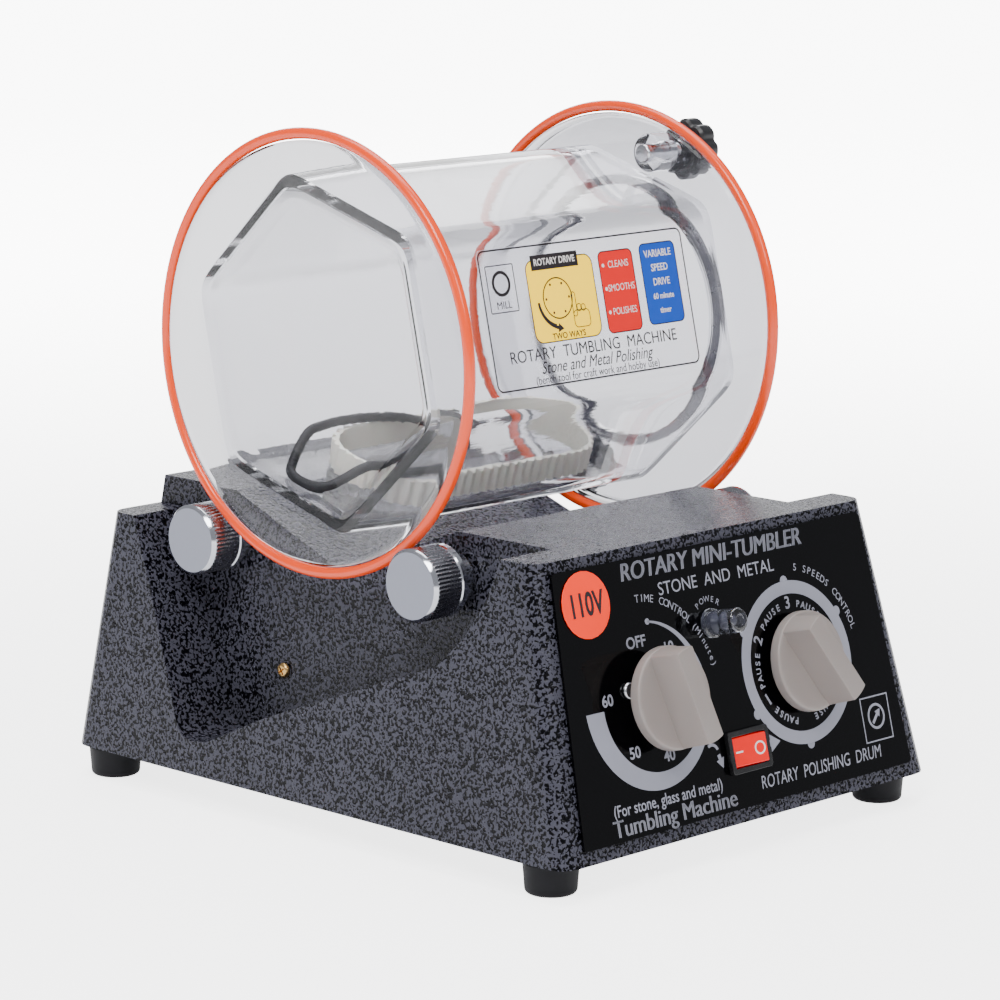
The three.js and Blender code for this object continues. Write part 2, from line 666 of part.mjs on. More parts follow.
function pulley(radius, bore) {
  const half = beltWidth / 2 + gap;
  const edge = half + 1.5;
  return turnedX([
    [bore, -edge], [radius + 1.2, -edge], [radius + 1.2, -half], [radius, -half],
    [radius, half], [radius + 1.2, half], [radius + 1.2, edge], [bore, edge], [bore, -edge],
  ], 20);
}
part(base, 'motor_pulley', pulley(motorPulleyRadius, motorShaftRadius + gap), blackPlastic)
  .position.set(beltX, ...motorAt);
part(base, 'driven_pulley', pulley(drivenPulleyRadius, shaftRadius + gap), blackPlastic)
  .position.set(beltX, -rollerY, rollerHeight);

const beltRoute = [[-rollerY, rollerHeight], drivenPulleyRadius, motorAt, motorPulleyRadius];
const driveBelt = beltShape(...beltRoute, gap + beltThickness);
driveBelt.holes.push(beltShape(...beltRoute, gap));
const beltLoop = slab(driveBelt, -beltWidth / 2, beltWidth / 2, 10).applyMatrix4(yzToWorld);
part(base, 'drive_belt', beltLoop, creamRubber).position.x = beltX;

// A folded bracket holds the motor by its gearbox face and stands on the bottom cover.
function motorBracket() {
  const foot = gap / 2 + coverThickness + gap;
  const plateX = motorInner + motorLength + 3 + gap;
  const saddle = motorRadius + gap;
  const half = saddle + 6;
  const top = motorAt[1] + 4;
  const cradle = outline([[-half, foot], [half, foot], [half, top], [-half, top]]);
  const round = manifoldOf(turnedX(rodProfile(saddle, -60, 80), 24), along(0, 0, motorAt[1]));
  const web = (x) => manifoldOf(slab(cradle, x, x + 3), yzToWorld).subtract(round);
  const sheet = slab(outline(boxCorners(motorLength - 8, 2 * saddle + 12)), foot, foot + 2)
    .translate(motorInner + motorLength / 2, 0, 0);
  return geometryOf(web(motorInner + 6).add(web(plateX - 16)).add(manifoldOf(sheet)).subtract(round));
}
part(base, 'motor_bracket', motorBracket(), zincPlate).position.y = motorAt[0];

// The tapped transformer that sets the five speeds: a laminated core around a wound bobbin.
function transformer() {
  const foot = gap / 2 + coverThickness + gap;
  const core = manifoldOf(slab(outline(boxCorners(44, 26)), foot, foot + 38));
  const bobbin = manifoldOf(slab(rounded(boxCorners(28, 42), 6), foot + 7, foot + 31));
  const feet = manifoldOf(slab(rounded(boxCorners(60, 16), 3), foot, foot + 1.5));
  return geometryOf(core.add(bobbin).add(feet));
}
part(base, 'speed_transformer', transformer(), blackPlastic).position.set(...transformerAt, 0);

// ---------------------------------------------------------------- barrel

const discX = barrelHalfLength;
const flangeRadius = tireRadius - tireSection - gap;
const discIn = discX - flangeThickness / 2;
const discOut = discX + flangeThickness / 2;
const tubeEnd = discIn - gap;
const plugGap = gap / Math.cos(Math.PI / 6);
const studs = [studAngle, studAngle + 180].map((angle) => polar(studCircle, angle));

function hexPrism(radius, low, high, corner = hexCorner) {
  return manifoldOf(slab(rounded(hexCorners(radius), corner), low, high, 3), yzToWorld);
}

const barrelTube = hexPrism(hexRadius, -tubeEnd, tubeEnd)
  .subtract(hexPrism(innerHexRadius, -tubeEnd - 1, tubeEnd + 1, hexCorner * 0.7));
part(barrel, 'barrel_tube', geometryOf(barrelTube), clearPlastic);

// The closed end: a disc whose hexagonal window is set in on a sloping band and plugs the tube.
function sunkWindow() {
  const low = -discOut - 0.5;
  const rings = [[windowRadius + windowDepth + 3, low], [windowRadius, -discOut + windowDepth]];
  const cutter = slab(rounded(hexCorners(1), 0.1), 0, 1, 3);
  const place = cutter.attributes.position;
  for (let i = 0; i < place.count; i++) {
    const [radius, x] = rings[place.getZ(i) < 0.5 ? 0 : 1];
    place.setXYZ(i, place.getX(i) * radius, place.getY(i) * radius, x);
  }
  return manifoldOf(cutter, yzToWorld);
}
const plug = hexPrism(innerHexRadius - plugGap, -discIn - 1, -discIn + windowDepth, hexCorner * 0.7);
const closedEnd = manifoldOf(turnedX(rodProfile(flangeRadius, -discOut, -discIn, 0.6), 56)).add(plug)
  .subtract(sunkWindow());
part(barrel, 'closed_end_disc', geometryOf(closedEnd), clearPlastic);

// The mouth end: an open disc with a stud boss behind each lid knob.
function mouthDisc() {
  let disc = manifoldOf(turnedX(ringProfile(mouthRadius, flangeRadius, discIn, discOut), 56));
  for (const [y, z] of studs) {
    const boss = turnedX(rodProfile(bossRadius, discIn - bossLength, discIn + 1), 16);
    const seat = hexPrism(hexRadius + plugGap, 0, discIn);
    disc = disc.add(manifoldOf(boss, along(0, y, z)).subtract(seat));
  }
  for (const [y, z] of studs) {
    const bore = turnedX(rodProfile(studRadius + gap, discIn - bossLength - 1, discOut + 1), 10);
    disc = disc.subtract(manifoldOf(bore, along(0, y, z)));
  }
  return geometryOf(disc);
}
part(barrel, 'mouth_disc', mouthDisc(), clearPlastic);

for (const [name, x] of [['left', -discX], ['right', discX]]) {
  const tire = new THREE.TorusGeometry(tireRadius, tireSection, 8, 56).rotateY(Math.PI / 2);
  part(barrel, `tire_${name}`, tire, orangeRubber).position.x = x;
}

// The lid, its gasket in a groove, and the knobs on their studs.
const lidIn = discOut + gap;
const lidOut = lidIn + lidThickness;
const gasketIn = mouthRadius - 0.8;
const gasketOut = gasketIn + gasketWidth;

function lid() {
  let cover = manifoldOf(turnedX(rodProfile(lidRadius, lidIn, lidOut, 0.6), 56));
  const groove = ringProfile(gasketIn - gap, gasketOut + gap, lidIn - 1, lidIn + gasketThickness + gap);
  cover = cover.subtract(manifoldOf(turnedX(groove, 40)));
  for (const [y, z] of studs) {
    cover = cover.subtract(manifoldOf(turnedX(rodProfile(studRadius + gap, 0, 100), 10), along(0, y, z)));
  }
  return geometryOf(cover);
}
part(barrel, 'lid', lid(), clearPlastic);
const gasketProfile = ringProfile(gasketIn, gasketOut, lidIn, lidIn + gasketThickness);
part(barrel, 'lid_gasket', turnedX(gasketProfile, 40), blackRubber);

const lidKnobIn = lidOut + gap;
const lidKnobOut = lidKnobIn + lidKnobHeight;
const studTop = lidKnobOut - 3;
const studSeat = discIn - bossLength - gap;
const studProfile = [
  [0, studSeat - 2.6], [studHeadRadius - 0.6, studSeat - 2.6], [studHeadRadius, studSeat - 2],
  [studHeadRadius, studSeat], [studRadius, studSeat], [studRadius, studTop], [0, studTop],
];

function lidKnob() {
  const face = new THREE.Shape();
  const steps = lidKnobLobes * 3;
  const rim = Array.from({ length: steps }, (_, i) => {
    const wave = 0.5 + 0.5 * Math.cos(i * lidKnobLobes * 2 * Math.PI / steps);
    return new THREE.Vector2(...polar(lidKnobRadius - 1.3 * (1 - wave), i * 360 / steps));
  });
  face.setFromPoints(rim);
  const grip = manifoldOf(slab(face, lidKnobIn + 2.5, lidKnobOut), yzToWorld);
  const crown = turnedX([
    [0, lidKnobIn], [8, lidKnobIn], [8, lidKnobIn + 2.5], [lidKnobRadius + 1, lidKnobIn + 2.5],
    [lidKnobRadius, lidKnobOut - 1.5], [lidKnobRadius - 2, lidKnobOut], [0, lidKnobOut],
  ], 24);
  const hub = turnedX(rodProfile(8, lidKnobIn, lidKnobIn + 4, 0.3), 20);
  const bore = turnedX(rodProfile(studRadius + gap, lidKnobIn - 1, studTop + gap), 10);
  return geometryOf(grip.intersect(manifoldOf(crown)).add(manifoldOf(hub)).subtract(manifoldOf(bore)));
}
studs.forEach(([y, z], i) => {
  part(barrel, `lid_stud_${i + 1}`, turnedX(studProfile, 12), steel).position.set(0, y, z);
  part(barrel, `lid_knob_${i + 1}`, lidKnob(), blackPlastic).position.set(0, y, z);
});

// The printed label on the facet that faces the front.
const facet = (angle) => basis([1, 0, 0], [0, Math.sin(degrees(angle)), -Math.cos(degrees(angle))],
  [0, Math.cos(degrees(angle)), Math.sin(degrees(angle))]);
const labelFacet = 150 + hexTurn;
part(barrel, 'barrel_label', slab(rounded(boxCorners(...labelSize, ...labelAt), 3), hexApothem + gap,
  hexApothem + gap + 0.3, 3), clearPlastic).applyMatrix4(facet(labelFacet));

// Loose spares kept in the barrel: a toothed drive belt on its edge and a seal ring over it.
const floorFacet = facet(90 + hexTurn);
const floorUp = -innerHexRadius * Math.cos(Math.PI / 6);
const spareBeltWidth = 10;
const spareBend = innerHexRadius / 2 - 9.7;
const spareEnds = [[49.7 - tubeEnd, -1], spareBend, [tubeEnd - 30.7, -1], spareBend];
const spareBelt = beltShape(...spareEnds, 1.2);
spareBelt.holes.push(beltShape(...spareEnds, -1));
const spareLow = floorUp + gap;
part(barrel, 'spare_drive_belt', slab(spareBelt, spareLow, spareLow + spareBeltWidth, 8), creamRubber)
  .applyMatrix4(floorFacet);

const ringSection = 1.8;
const ringX = 44.7 - tubeEnd;  // the ring's middle
const ringOver = floorUp + spareBeltWidth + 2 * gap + ringSection;
const ringFloor = floorUp + gap + ringSection;
const ringPoints = Array.from({ length: 12 }, (_, i) => {
  const [c, s] = [Math.cos(i * Math.PI / 6), Math.sin(i * Math.PI / 6)];
  const x = 38 * c;
  const rise = THREE.MathUtils.smoothstep(x, -36, -19);
  const height = THREE.MathUtils.lerp(ringFloor, ringOver, rise);
  return new THREE.Vector3(ringX + x, 2 + (spareBend - 2) * s, height);
});
const ringCurve = new THREE.CatmullRomCurve3(ringPoints, true);
part(barrel, 'spare_seal_ring', new THREE.TubeGeometry(ringCurve, 36, ringSection, 6, true), blackRubber)
  .applyMatrix4(floorFacet);

// ---------------------------------------------------------------- frame

// The origin is on the table under the middle of the whole machine's box.
model.updateMatrixWorld(true);
const extent = new THREE.Box3().setFromObject(model, true);
const middle = extent.getCenter(new THREE.Vector3());
model.position.set(-middle.x, -middle.y, -extent.min.z);

export default model;
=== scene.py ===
"""A bench rotary tumbler: a clear six-sided barrel on two rubber-tired discs, turned by
knurled rollers over a hammertone base with a timer, a speed dial and a rocker switch."""

import json
import math

import bmesh
import bpy
from mathutils import Matrix, Quaternion, Vector


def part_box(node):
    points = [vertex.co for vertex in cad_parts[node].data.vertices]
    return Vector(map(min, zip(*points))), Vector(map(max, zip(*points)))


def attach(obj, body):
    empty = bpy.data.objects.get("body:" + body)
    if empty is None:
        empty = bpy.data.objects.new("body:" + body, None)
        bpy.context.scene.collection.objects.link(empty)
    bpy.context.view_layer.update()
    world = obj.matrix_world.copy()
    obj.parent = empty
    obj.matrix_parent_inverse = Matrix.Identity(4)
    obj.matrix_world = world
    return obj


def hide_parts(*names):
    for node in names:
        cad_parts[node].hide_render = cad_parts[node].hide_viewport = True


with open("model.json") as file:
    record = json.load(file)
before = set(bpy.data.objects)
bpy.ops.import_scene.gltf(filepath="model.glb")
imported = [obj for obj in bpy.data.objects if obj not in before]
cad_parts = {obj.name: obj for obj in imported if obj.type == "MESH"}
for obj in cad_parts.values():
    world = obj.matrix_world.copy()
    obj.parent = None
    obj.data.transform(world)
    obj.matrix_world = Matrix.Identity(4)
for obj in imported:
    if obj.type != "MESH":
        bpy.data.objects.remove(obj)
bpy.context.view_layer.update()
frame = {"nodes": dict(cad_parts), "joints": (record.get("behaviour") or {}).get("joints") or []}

# ---------------------------------------------------------------- studio
# A white photographic table under soft boxes, with the camera at the front left corner,
# about a metre and a half away and a little above the machine.

CAMERA_AIM = Vector((0.0012, 0.0068, 0.1081))
CAMERA_AZIMUTH = math.radians(-45.68)
CAMERA_ELEVATION = math.radians(10.64)
CAMERA_ROLL = math.radians(0.19)
CAMERA_DISTANCE = 1.473
CAMERA_LENS = 144.58
TABLE_GLOW = (0.4, 0.9)
TABLE_SEEN = (3.2, 9.0)
TABLE_FADE = (0.15, 1.6)
WORLD_GLOW = 0.42


def studio_camera():
    data = bpy.data.cameras.new("camera")
    data.lens = CAMERA_LENS
    data.sensor_width = 36.0
    camera = bpy.data.objects.new("camera", data)
    bpy.context.scene.collection.objects.link(camera)
    back = Vector((
        math.sin(CAMERA_AZIMUTH) * math.cos(CAMERA_ELEVATION),
        -math.cos(CAMERA_AZIMUTH) * math.cos(CAMERA_ELEVATION),
        math.sin(CAMERA_ELEVATION),
    ))
    camera.location = CAMERA_AIM + back * CAMERA_DISTANCE
    level = (-back).to_track_quat("-Z", "Y")
    camera.rotation_mode = "QUATERNION"
    camera.rotation_quaternion = level @ Quaternion((0, 0, 1), CAMERA_ROLL)
    bpy.context.scene.camera = camera


def soft_box(name, place, size, power):
    data = bpy.data.lights.new(name, "AREA")
    data.shape = "RECTANGLE"
    data.size, data.size_y = size
    data.energy = power
    light = bpy.data.objects.new(name, data)
    bpy.context.scene.collection.objects.link(light)
    light.location = place
    light.rotation_mode = "QUATERNION"
    light.rotation_quaternion = (CAMERA_AIM - Vector(place)).to_track_quat("-Z", "Y")


def white_table():
    """A pale floor that grows brighter away from the machine, and is brightest to the camera."""
    mesh = bpy.data.meshes.new("table")
    edit = bmesh.new()
    bmesh.ops.create_circle(edit, cap_ends=True, segments=96, radius=60)
    edit.to_mesh(mesh)
    edit.free()
    table = bpy.data.objects.new("table", mesh)
    bpy.context.scene.collection.objects.link(table)
    paper = bpy.data.materials.new("table_paper")
    paper.use_nodes = True
    shader = paper.node_tree.nodes["Principled BSDF"]
    shader.inputs["Base Color"].default_value = (0.93, 0.93, 0.94, 1)
    shader.inputs["Roughness"].default_value = 0.9
    shader.inputs["Specular IOR Level"].default_value = 0.1
    shader.inputs["Emission Color"].default_value = (1, 1, 1, 1)
    tree = paper.node_tree
    place = tree.nodes.new("ShaderNodeTexCoord")
    away = tree.nodes.new("ShaderNodeVectorMath")
    away.operation = "LENGTH"
    tree.links.new(place.outputs["Object"], away.inputs[0])
    path = tree.nodes.new("ShaderNodeLightPath")
    chosen = tree.nodes.new("ShaderNodeMix")
    tree.links.new(path.outputs["Is Camera Ray"], chosen.inputs["Factor"])
    for socket, (near, far) in ((2, TABLE_GLOW), (3, TABLE_SEEN)):
        glow = tree.nodes.new("ShaderNodeMapRange")
        glow.interpolation_type = "SMOOTHSTEP"
        glow.inputs["From Min"].default_value = TABLE_FADE[0]
        glow.inputs["From Max"].default_value = TABLE_FADE[1]
        glow.inputs["To Min"].default_value = near
        glow.inputs["To Max"].default_value = far
        tree.links.new(away.outputs["Value"], glow.inputs["Value"])
        tree.links.new(glow.outputs["Result"], chosen.inputs[socket])
    tree.links.new(chosen.outputs[0], shader.inputs["Emission Strength"])
    mesh.materials.append(paper)


def pale_world():
    world = bpy.data.worlds.new("studio")
    world.use_nodes = True
    tree = world.node_tree
    glow = tree.nodes["Background"]
    glow.inputs["Color"].default_value = (0.93, 0.95, 1.0, 1)
    path = tree.nodes.new("ShaderNodeLightPath")
    chosen = tree.nodes.new("ShaderNodeMix")
    chosen.inputs[2].default_value = WORLD_GLOW
    chosen.inputs[3].default_value = TABLE_SEEN[1]
    tree.links.new(path.outputs["Is Camera Ray"], chosen.inputs["Factor"])
    tree.links.new(chosen.outputs[0], glow.inputs["Strength"])
    bpy.context.scene.world = world


studio_camera()
soft_box("key", (-1.6, -0.7, 1.9), (1.0, 1.0), 40)
soft_box("top", (0.1, 0.3, 2.2), (1.8, 1.4), 40)
soft_box("rear", (1.4, 1.7, 1.2), (1.4, 1.0), 20)
soft_box("front", (-0.5, -2.2, 1.5), (1.0, 0.8), 16)
white_table()
pale_world()

# ---------------------------------------------------------------- base housing
# One deep shell of pressed sheet, tapered on all sides, with a pocket at each end for the
# rollers and a dished top. It is sprayed with hammertone enamel: glossy, nearly black,
# with a fine grey network where the paint draws back.


def node_group(name, inputs, outputs):
    """An empty shader group with named sockets, and its input and output nodes."""
    tree = bpy.data.node_groups.new(name, "ShaderNodeTree")
    for label, kind, value in inputs:
        socket = tree.interface.new_socket(label, in_out="INPUT", socket_type=kind)
        socket.default_value = value
    for label, kind in outputs:
        tree.interface.new_socket(label, in_out="OUTPUT", socket_type=kind)
    return tree, tree.nodes.new("NodeGroupInput"), tree.nodes.new("NodeGroupOutput")


def add(tree, kind, links=(), **values):
    """A node with plain socket values by name, linked from the sockets given by name."""
    node = tree.nodes.new(kind)
    for label, value in values.items():
        label = label.replace("_", " ")
        if label in node.inputs:
            node.inputs[label].default_value = value
        else:
            setattr(node, label.replace(" ", "_"), value)
    for label, source in links:
        tree.links.new(source, node.inputs[label])
    return node


def ramp(tree, source, low, high):
    """A smooth step between two colours over a range of a value."""
    node = add(tree, "ShaderNodeValToRGB", [("Fac", source)])
    first, last = node.color_ramp.elements
    first.position, last.position = low, high
    first.color, last.color = (0, 0, 0, 1), (1, 1, 1, 1)
    node.color_ramp.interpolation = "EASE"
    return node.outputs["Color"]


def spread(tree, source, middle, reach):
    """A value moved up and down around its middle by a pattern."""
    lower = add(tree, "ShaderNodeMath", [(1, reach), (0, middle)], operation="SUBTRACT")
    upper = add(tree, "ShaderNodeMath", [(1, reach), (0, middle)], operation="ADD")
    return add(tree, "ShaderNodeMapRange", [
        ("Value", source), ("To Min", lower.outputs[0]), ("To Max", upper.outputs[0]),
    ], clamp=True).outputs["Result"]


def made_surface():
    """Slow clouds of colour and gloss, and a fine grain: how any moulded or plated face varies."""
    tree, given, result = node_group("made_surface", [
        ("Color", "NodeSocketColor", (0.5, 0.5, 0.5, 1)),
        ("Color Spread", "NodeSocketFloat", 0.06),
        ("Roughness", "NodeSocketFloat", 0.4),
        ("Roughness Spread", "NodeSocketFloat", 0.06),
        ("Cloud Scale", "NodeSocketFloat", 60.0),
        ("Grain Scale", "NodeSocketFloat", 2500.0),
        ("Stretch", "NodeSocketVector", (1, 1, 1)),
    ], [("Color", "NodeSocketColor"), ("Roughness", "NodeSocketFloat"), ("Height", "NodeSocketFloat")])
    place = add(tree, "ShaderNodeTexCoord").outputs["Object"]
    given = given.outputs
    pulled = add(tree, "ShaderNodeVectorMath", [(0, place), (1, given["Stretch"])], operation="MULTIPLY")
    at = pulled.outputs[0]
    cloud = add(tree, "ShaderNodeTexNoise", [("Vector", at), ("Scale", given["Cloud Scale"])], Detail=4.0)
    grain = add(tree, "ShaderNodeTexNoise", [("Vector", at), ("Scale", given["Grain Scale"])], Detail=2.0)
    one = add(tree, "ShaderNodeValue")
    one.outputs[0].default_value = 1.0
    value = spread(tree, cloud.outputs["Fac"], one.outputs[0], given["Color Spread"])
    colour = add(tree, "ShaderNodeHueSaturation", [("Value", value), ("Color", given["Color"])])
    rough = spread(tree, cloud.outputs["Fac"], given["Roughness"], given["Roughness Spread"])
    tree.links.new(colour.outputs["Color"], result.inputs["Color"])
    tree.links.new(rough, result.inputs["Roughness"])
    tree.links.new(grain.outputs["Fac"], result.inputs["Height"])
    return tree


MADE_SURFACE = made_surface()


def principled(name, **values):
    """A new material, its tree and its Principled shader with plain values set."""
    material = bpy.data.materials.new(name)
    material.use_nodes = True
    tree = material.node_tree
    shader = tree.nodes["Principled BSDF"]
    for label, value in values.items():
        shader.inputs[label.replace("_", " ")].default_value = value
    return material, tree, shader


def raise_from(tree, shader, height, strength, depth):
    bump = add(tree, "ShaderNodeBump", [("Height", height)], Strength=strength, Distance=depth)
    tree.links.new(bump.outputs["Normal"], shader.inputs["Normal"])


def finished(name, colour, rough, clouds=0.06, rough_spread=0.06, cloud_scale=60.0, grain_scale=2500.0,
             grain=0.05, stretch=(1, 1, 1), **values):
    """A material with varied colour and gloss and a fine grain in relief."""
    material, tree, shader = principled(name, **values)
    surface = tree.nodes.new("ShaderNodeGroup")
    surface.node_tree = MADE_SURFACE
    surface.inputs["Color"].default_value = (*colour, 1)
    surface.inputs["Color Spread"].default_value = clouds
    surface.inputs["Roughness"].default_value = rough
    surface.inputs["Roughness Spread"].default_value = rough_spread
    surface.inputs["Cloud Scale"].default_value = cloud_scale
    surface.inputs["Grain Scale"].default_value = grain_scale
    surface.inputs["Stretch"].default_value = stretch
    tree.links.new(surface.outputs["Color"], shader.inputs["Base Color"])
    tree.links.new(surface.outputs["Roughness"], shader.inputs["Roughness"])
    raise_from(tree, shader, surface.outputs["Height"], grain, 0.0001)
    return material


def hammertone_enamel():
    cell_scale = 850.0
    dark = (0.001, 0.001, 0.002, 1)
    grey = (0.06, 0.06, 0.08, 1)
    material, tree, shader = principled("hammertone_enamel", Specular_IOR_Level=0.16)
    place = add(tree, "ShaderNodeTexCoord").outputs["Object"]
    cells = add(tree, "ShaderNodeTexNoise", [("Vector", place)], Scale=cell_scale, Detail=1.0,
                Distortion=0.5)
    clouds = add(tree, "ShaderNodeTexNoise", [("Vector", place)], Scale=25.0, Detail=2.0)
    network = ramp(tree, cells.outputs["Fac"], 0.46, 0.52)
    colour = add(tree, "ShaderNodeMix", data_type="RGBA")
    colour.inputs[6].default_value = dark
    colour.inputs[7].default_value = grey
    tree.links.new(network, colour.inputs[0])
    shade = add(tree, "ShaderNodeMapRange", [("Value", clouds.outputs["Fac"])], To_Min=0.85, To_Max=1.15)
    varied = add(tree, "ShaderNodeHueSaturation", [
        ("Color", colour.outputs[2]), ("Value", shade.outputs[0]),
    ])
    tree.links.new(varied.outputs["Color"], shader.inputs["Base Color"])
    gloss = add(tree, "ShaderNodeMapRange", [("Value", network)], To_Min=0.14, To_Max=0.3)
    tree.links.new(gloss.outputs[0], shader.inputs["Roughness"])
    raise_from(tree, shader, cells.outputs["Fac"], 0.7, 0.0004)
    return material


def linked(name, mesh):
    piece = bpy.data.objects.new(name, mesh)
    bpy.context.scene.collection.objects.link(piece)
    return piece


def settled(piece, smooth_angle=32, sharpen=True):
    """The piece with its modifiers applied and its flat faces kept crisp."""
    graph = bpy.context.evaluated_depsgraph_get()
    mesh = bpy.data.meshes.new_from_object(piece.evaluated_get(graph))
    piece.modifiers.clear()
    piece.data = mesh
    if sharpen:
        mesh.shade_smooth()
        mesh.set_sharp_from_angle(angle=math.radians(smooth_angle))
    return piece


def softened(node, name, width, segments=2, angle=28):
    """A copy of a CAD solid with its sharp edges rounded over."""
    mesh = frame["nodes"][node].data.copy()
    edit = bmesh.new()
    edit.from_mesh(mesh)
    bmesh.ops.remove_doubles(edit, verts=edit.verts, dist=1e-6)
    bmesh.ops.dissolve_limit(edit, angle_limit=math.radians(0.6), verts=edit.verts, edges=edit.edges)
    edit.to_mesh(mesh)
    edit.free()
    mesh.materials.clear()
    piece = linked(name, mesh)
    bevel = piece.modifiers.new("rounded", "BEVEL")
    bevel.width = width
    bevel.segments = segments
    bevel.limit_method = "ANGLE"
    bevel.angle_limit = math.radians(angle)
    bevel.use_clamp_overlap = True
    level = piece.modifiers.new("level", "WEIGHTED_NORMAL")
    level.keep_sharp = True
    for face in piece.data.polygons:
        face.use_smooth = True
    return settled(piece, sharpen=False)


def seated(piece, body, slot, material, *nodes):
    """Gives a piece its finish, its body and the CAD nodes that it stands for."""
    if not piece.data.materials:
        piece.data.materials.append(material)
    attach(piece, body)
    if nodes:
        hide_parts(*nodes)
    return piece


def rounded_over(node, name, width, segments, body, slot, material, angle=28):
    """Puts a softened copy in the place of its CAD node."""
    seated(softened(node, name, width, segments, angle), body, slot, material, node)


HAMMERTONE = hammertone_enamel()
rounded_over("base_housing", "base_shell", 0.0019, 4, "housing", "hammertone_paint", HAMMERTONE, 14)

# ---------------------------------------------------------------- cover, drive and bearings
# The bottom cover, motor, bracket and timer case are zinc-plated steel; the transformer,
# speed switch and pulleys are black mouldings. All of them sit inside the shell.


def dress(material, *nodes):
    for node in nodes:
        slots = frame["nodes"][node].data.materials
        slots.clear()
        slots.append(material)
        frame["nodes"][node].data.shade_smooth()
        frame["nodes"][node].data.set_sharp_from_angle(angle=math.radians(32))


SIDES = ("left", "right")
ROWS = ("front", "rear")
ZINC = finished(
    "zinc_plate", (0.46, 0.47, 0.49), 0.36,
    clouds=0.1, rough_spread=0.1, cloud_scale=90, grain_scale=1800, grain=0.1, stretch=(1, 6, 1),
    Metallic=1.0,
)
STEEL = finished(
    "turned_steel", (0.62, 0.63, 0.66), 0.24,
    clouds=0.05, rough_spread=0.06, cloud_scale=200, grain_scale=3000, grain=0.06,
    stretch=(0.2, 1, 1), Metallic=1.0,
)
BLACK_PLASTIC = finished(
    "black_moulding", (0.012, 0.012, 0.014), 0.34,
    clouds=0.2, rough_spread=0.08, cloud_scale=120, grain_scale=2200, grain=0.1,
)
BRONZE = finished(
    "bearing_bronze", (0.5, 0.3, 0.13), 0.38,
    clouds=0.12, rough_spread=0.08, cloud_scale=150, grain_scale=2600, grain=0.12, Metallic=1.0,
)
CREAM_RUBBER = finished(
    "cream_rubber", (0.72, 0.71, 0.62), 0.5,
    clouds=0.08, rough_spread=0.08, cloud_scale=90, grain_scale=1500, grain=0.15,
    Subsurface_Weight=0.1, Subsurface_Scale=0.002,
)
dress(ZINC, "bottom_cover", "gear_motor", "motor_bracket", "timer_unit")
dress(BLACK_PLASTIC, "speed_switch", "speed_transformer", "motor_pulley", "driven_pulley")
dress(STEEL, "front_shaft", "rear_shaft", "timer_spindle", "speed_spindle")
dress(BRONZE, *[f"bearing_{row}_{side}" for row in ROWS for side in SIDES])
dress(CREAM_RUBBER, "drive_belt")

# ---------------------------------------------------------------- feet and cord inlet
# Turned-looking moulded rubber feet with a rounded lower edge, each screwed up into the
# base, and the rubber grommet at the back where a lead would come in.

ON_AXIS = 1e-7


def skin(edit, rings, closed=False):
    """Faces between rings of corners, each to the next, and the last to the first if closed."""
    pairs = list(zip(rings, rings[1:]))
    if closed:
        pairs.append((rings[-1], rings[0]))
    for low, high in pairs:
        for i in range(len(low)):
            j = (i + 1) % len(low)
            corners = list(dict.fromkeys((low[i], low[j], high[j], high[i])))
            if len(corners) > 2:
                edit.faces.new(corners)
    bmesh.ops.recalc_face_normals(edit, faces=edit.faces)


def solid(name, edit, place=Matrix()):
    """A new piece from an edited mesh, put in its place."""
    mesh = bpy.data.meshes.new(name)
    edit.to_mesh(mesh)
    edit.free()
    mesh.transform(place)
    return linked(name, mesh)


def lofted(name, rows, steps, place, closed=False, crease=32):
    """A skin over (outline, height) rows about local Z; an outline is a radius at each angle, or None."""
    edit = bmesh.new()
    rings = []
    for outline, height in rows:
        if outline is None:
            rings.append([edit.verts.new((0, 0, height))] * steps)
            continue
        ring = []
        for i in range(steps):
            angle = 2 * math.pi * i / steps
            reach = outline(angle)
            ring.append(edit.verts.new((reach * math.cos(angle), reach * math.sin(angle), height)))
        rings.append(ring)
    skin(edit, rings, closed)
    piece = solid(name, edit, place)
    piece.data.shade_smooth()
    piece.data.set_sharp_from_angle(angle=math.radians(crease))
    return piece


def turned(name, profile, steps=96, place=Matrix(), wave=None):
    """A turned piece about local Z from (radius, height) points; wave(row, angle) scales a radius."""
    rows = []
    for row, (radius, height) in enumerate(profile):
        def outline(angle, row=row, radius=radius):
            return radius * (wave(row, angle) if wave else 1)
        rows.append((outline if radius > ON_AXIS else None, height))
    return lofted(name, rows, steps, place)


def polar(centre, radius, degrees):
    """A point on a circle, at an angle from the first axis towards the second."""
    turn = math.radians(degrees)
    return centre[0] + radius * math.cos(turn), centre[1] + radius * math.sin(turn)


def arc_corner(centre, radius, start, end, steps=4):
    """Points round part of a circle, its start and end in degrees from the first axis."""
    return [polar(centre, radius, start + (end - start) * i / steps) for i in range(steps + 1)]


def middle(node):
    low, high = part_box(node)
    return (low + high) / 2


BLACK_RUBBER = finished(
    "black_rubber", (0.003, 0.003, 0.005), 0.5,
    clouds=0.3, rough_spread=0.1, cloud_scale=90, grain_scale=1500, grain=0.25,
    Specular_IOR_Level=0.25,
)


def rubber_foot(node):
    low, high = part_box(node)
    at = (low + high) / 2
    top = high.z - low.z
    profile = [(0.0021, 0.005), (0.0039, 0.005), (0.0039, 0)]
    profile += arc_corner((0.0073, 0.0018), 0.0018, 270, 355, 5)
    profile += [(0.0094, 0.006), (0.0098, top - 0.0005), (0.0093, top), (0.0021, top), (0.0021, 0.005)]
    return turned(node.replace("foot", "rubber_foot"), profile, 72, Matrix.Translation((at.x, at.y, 0)))


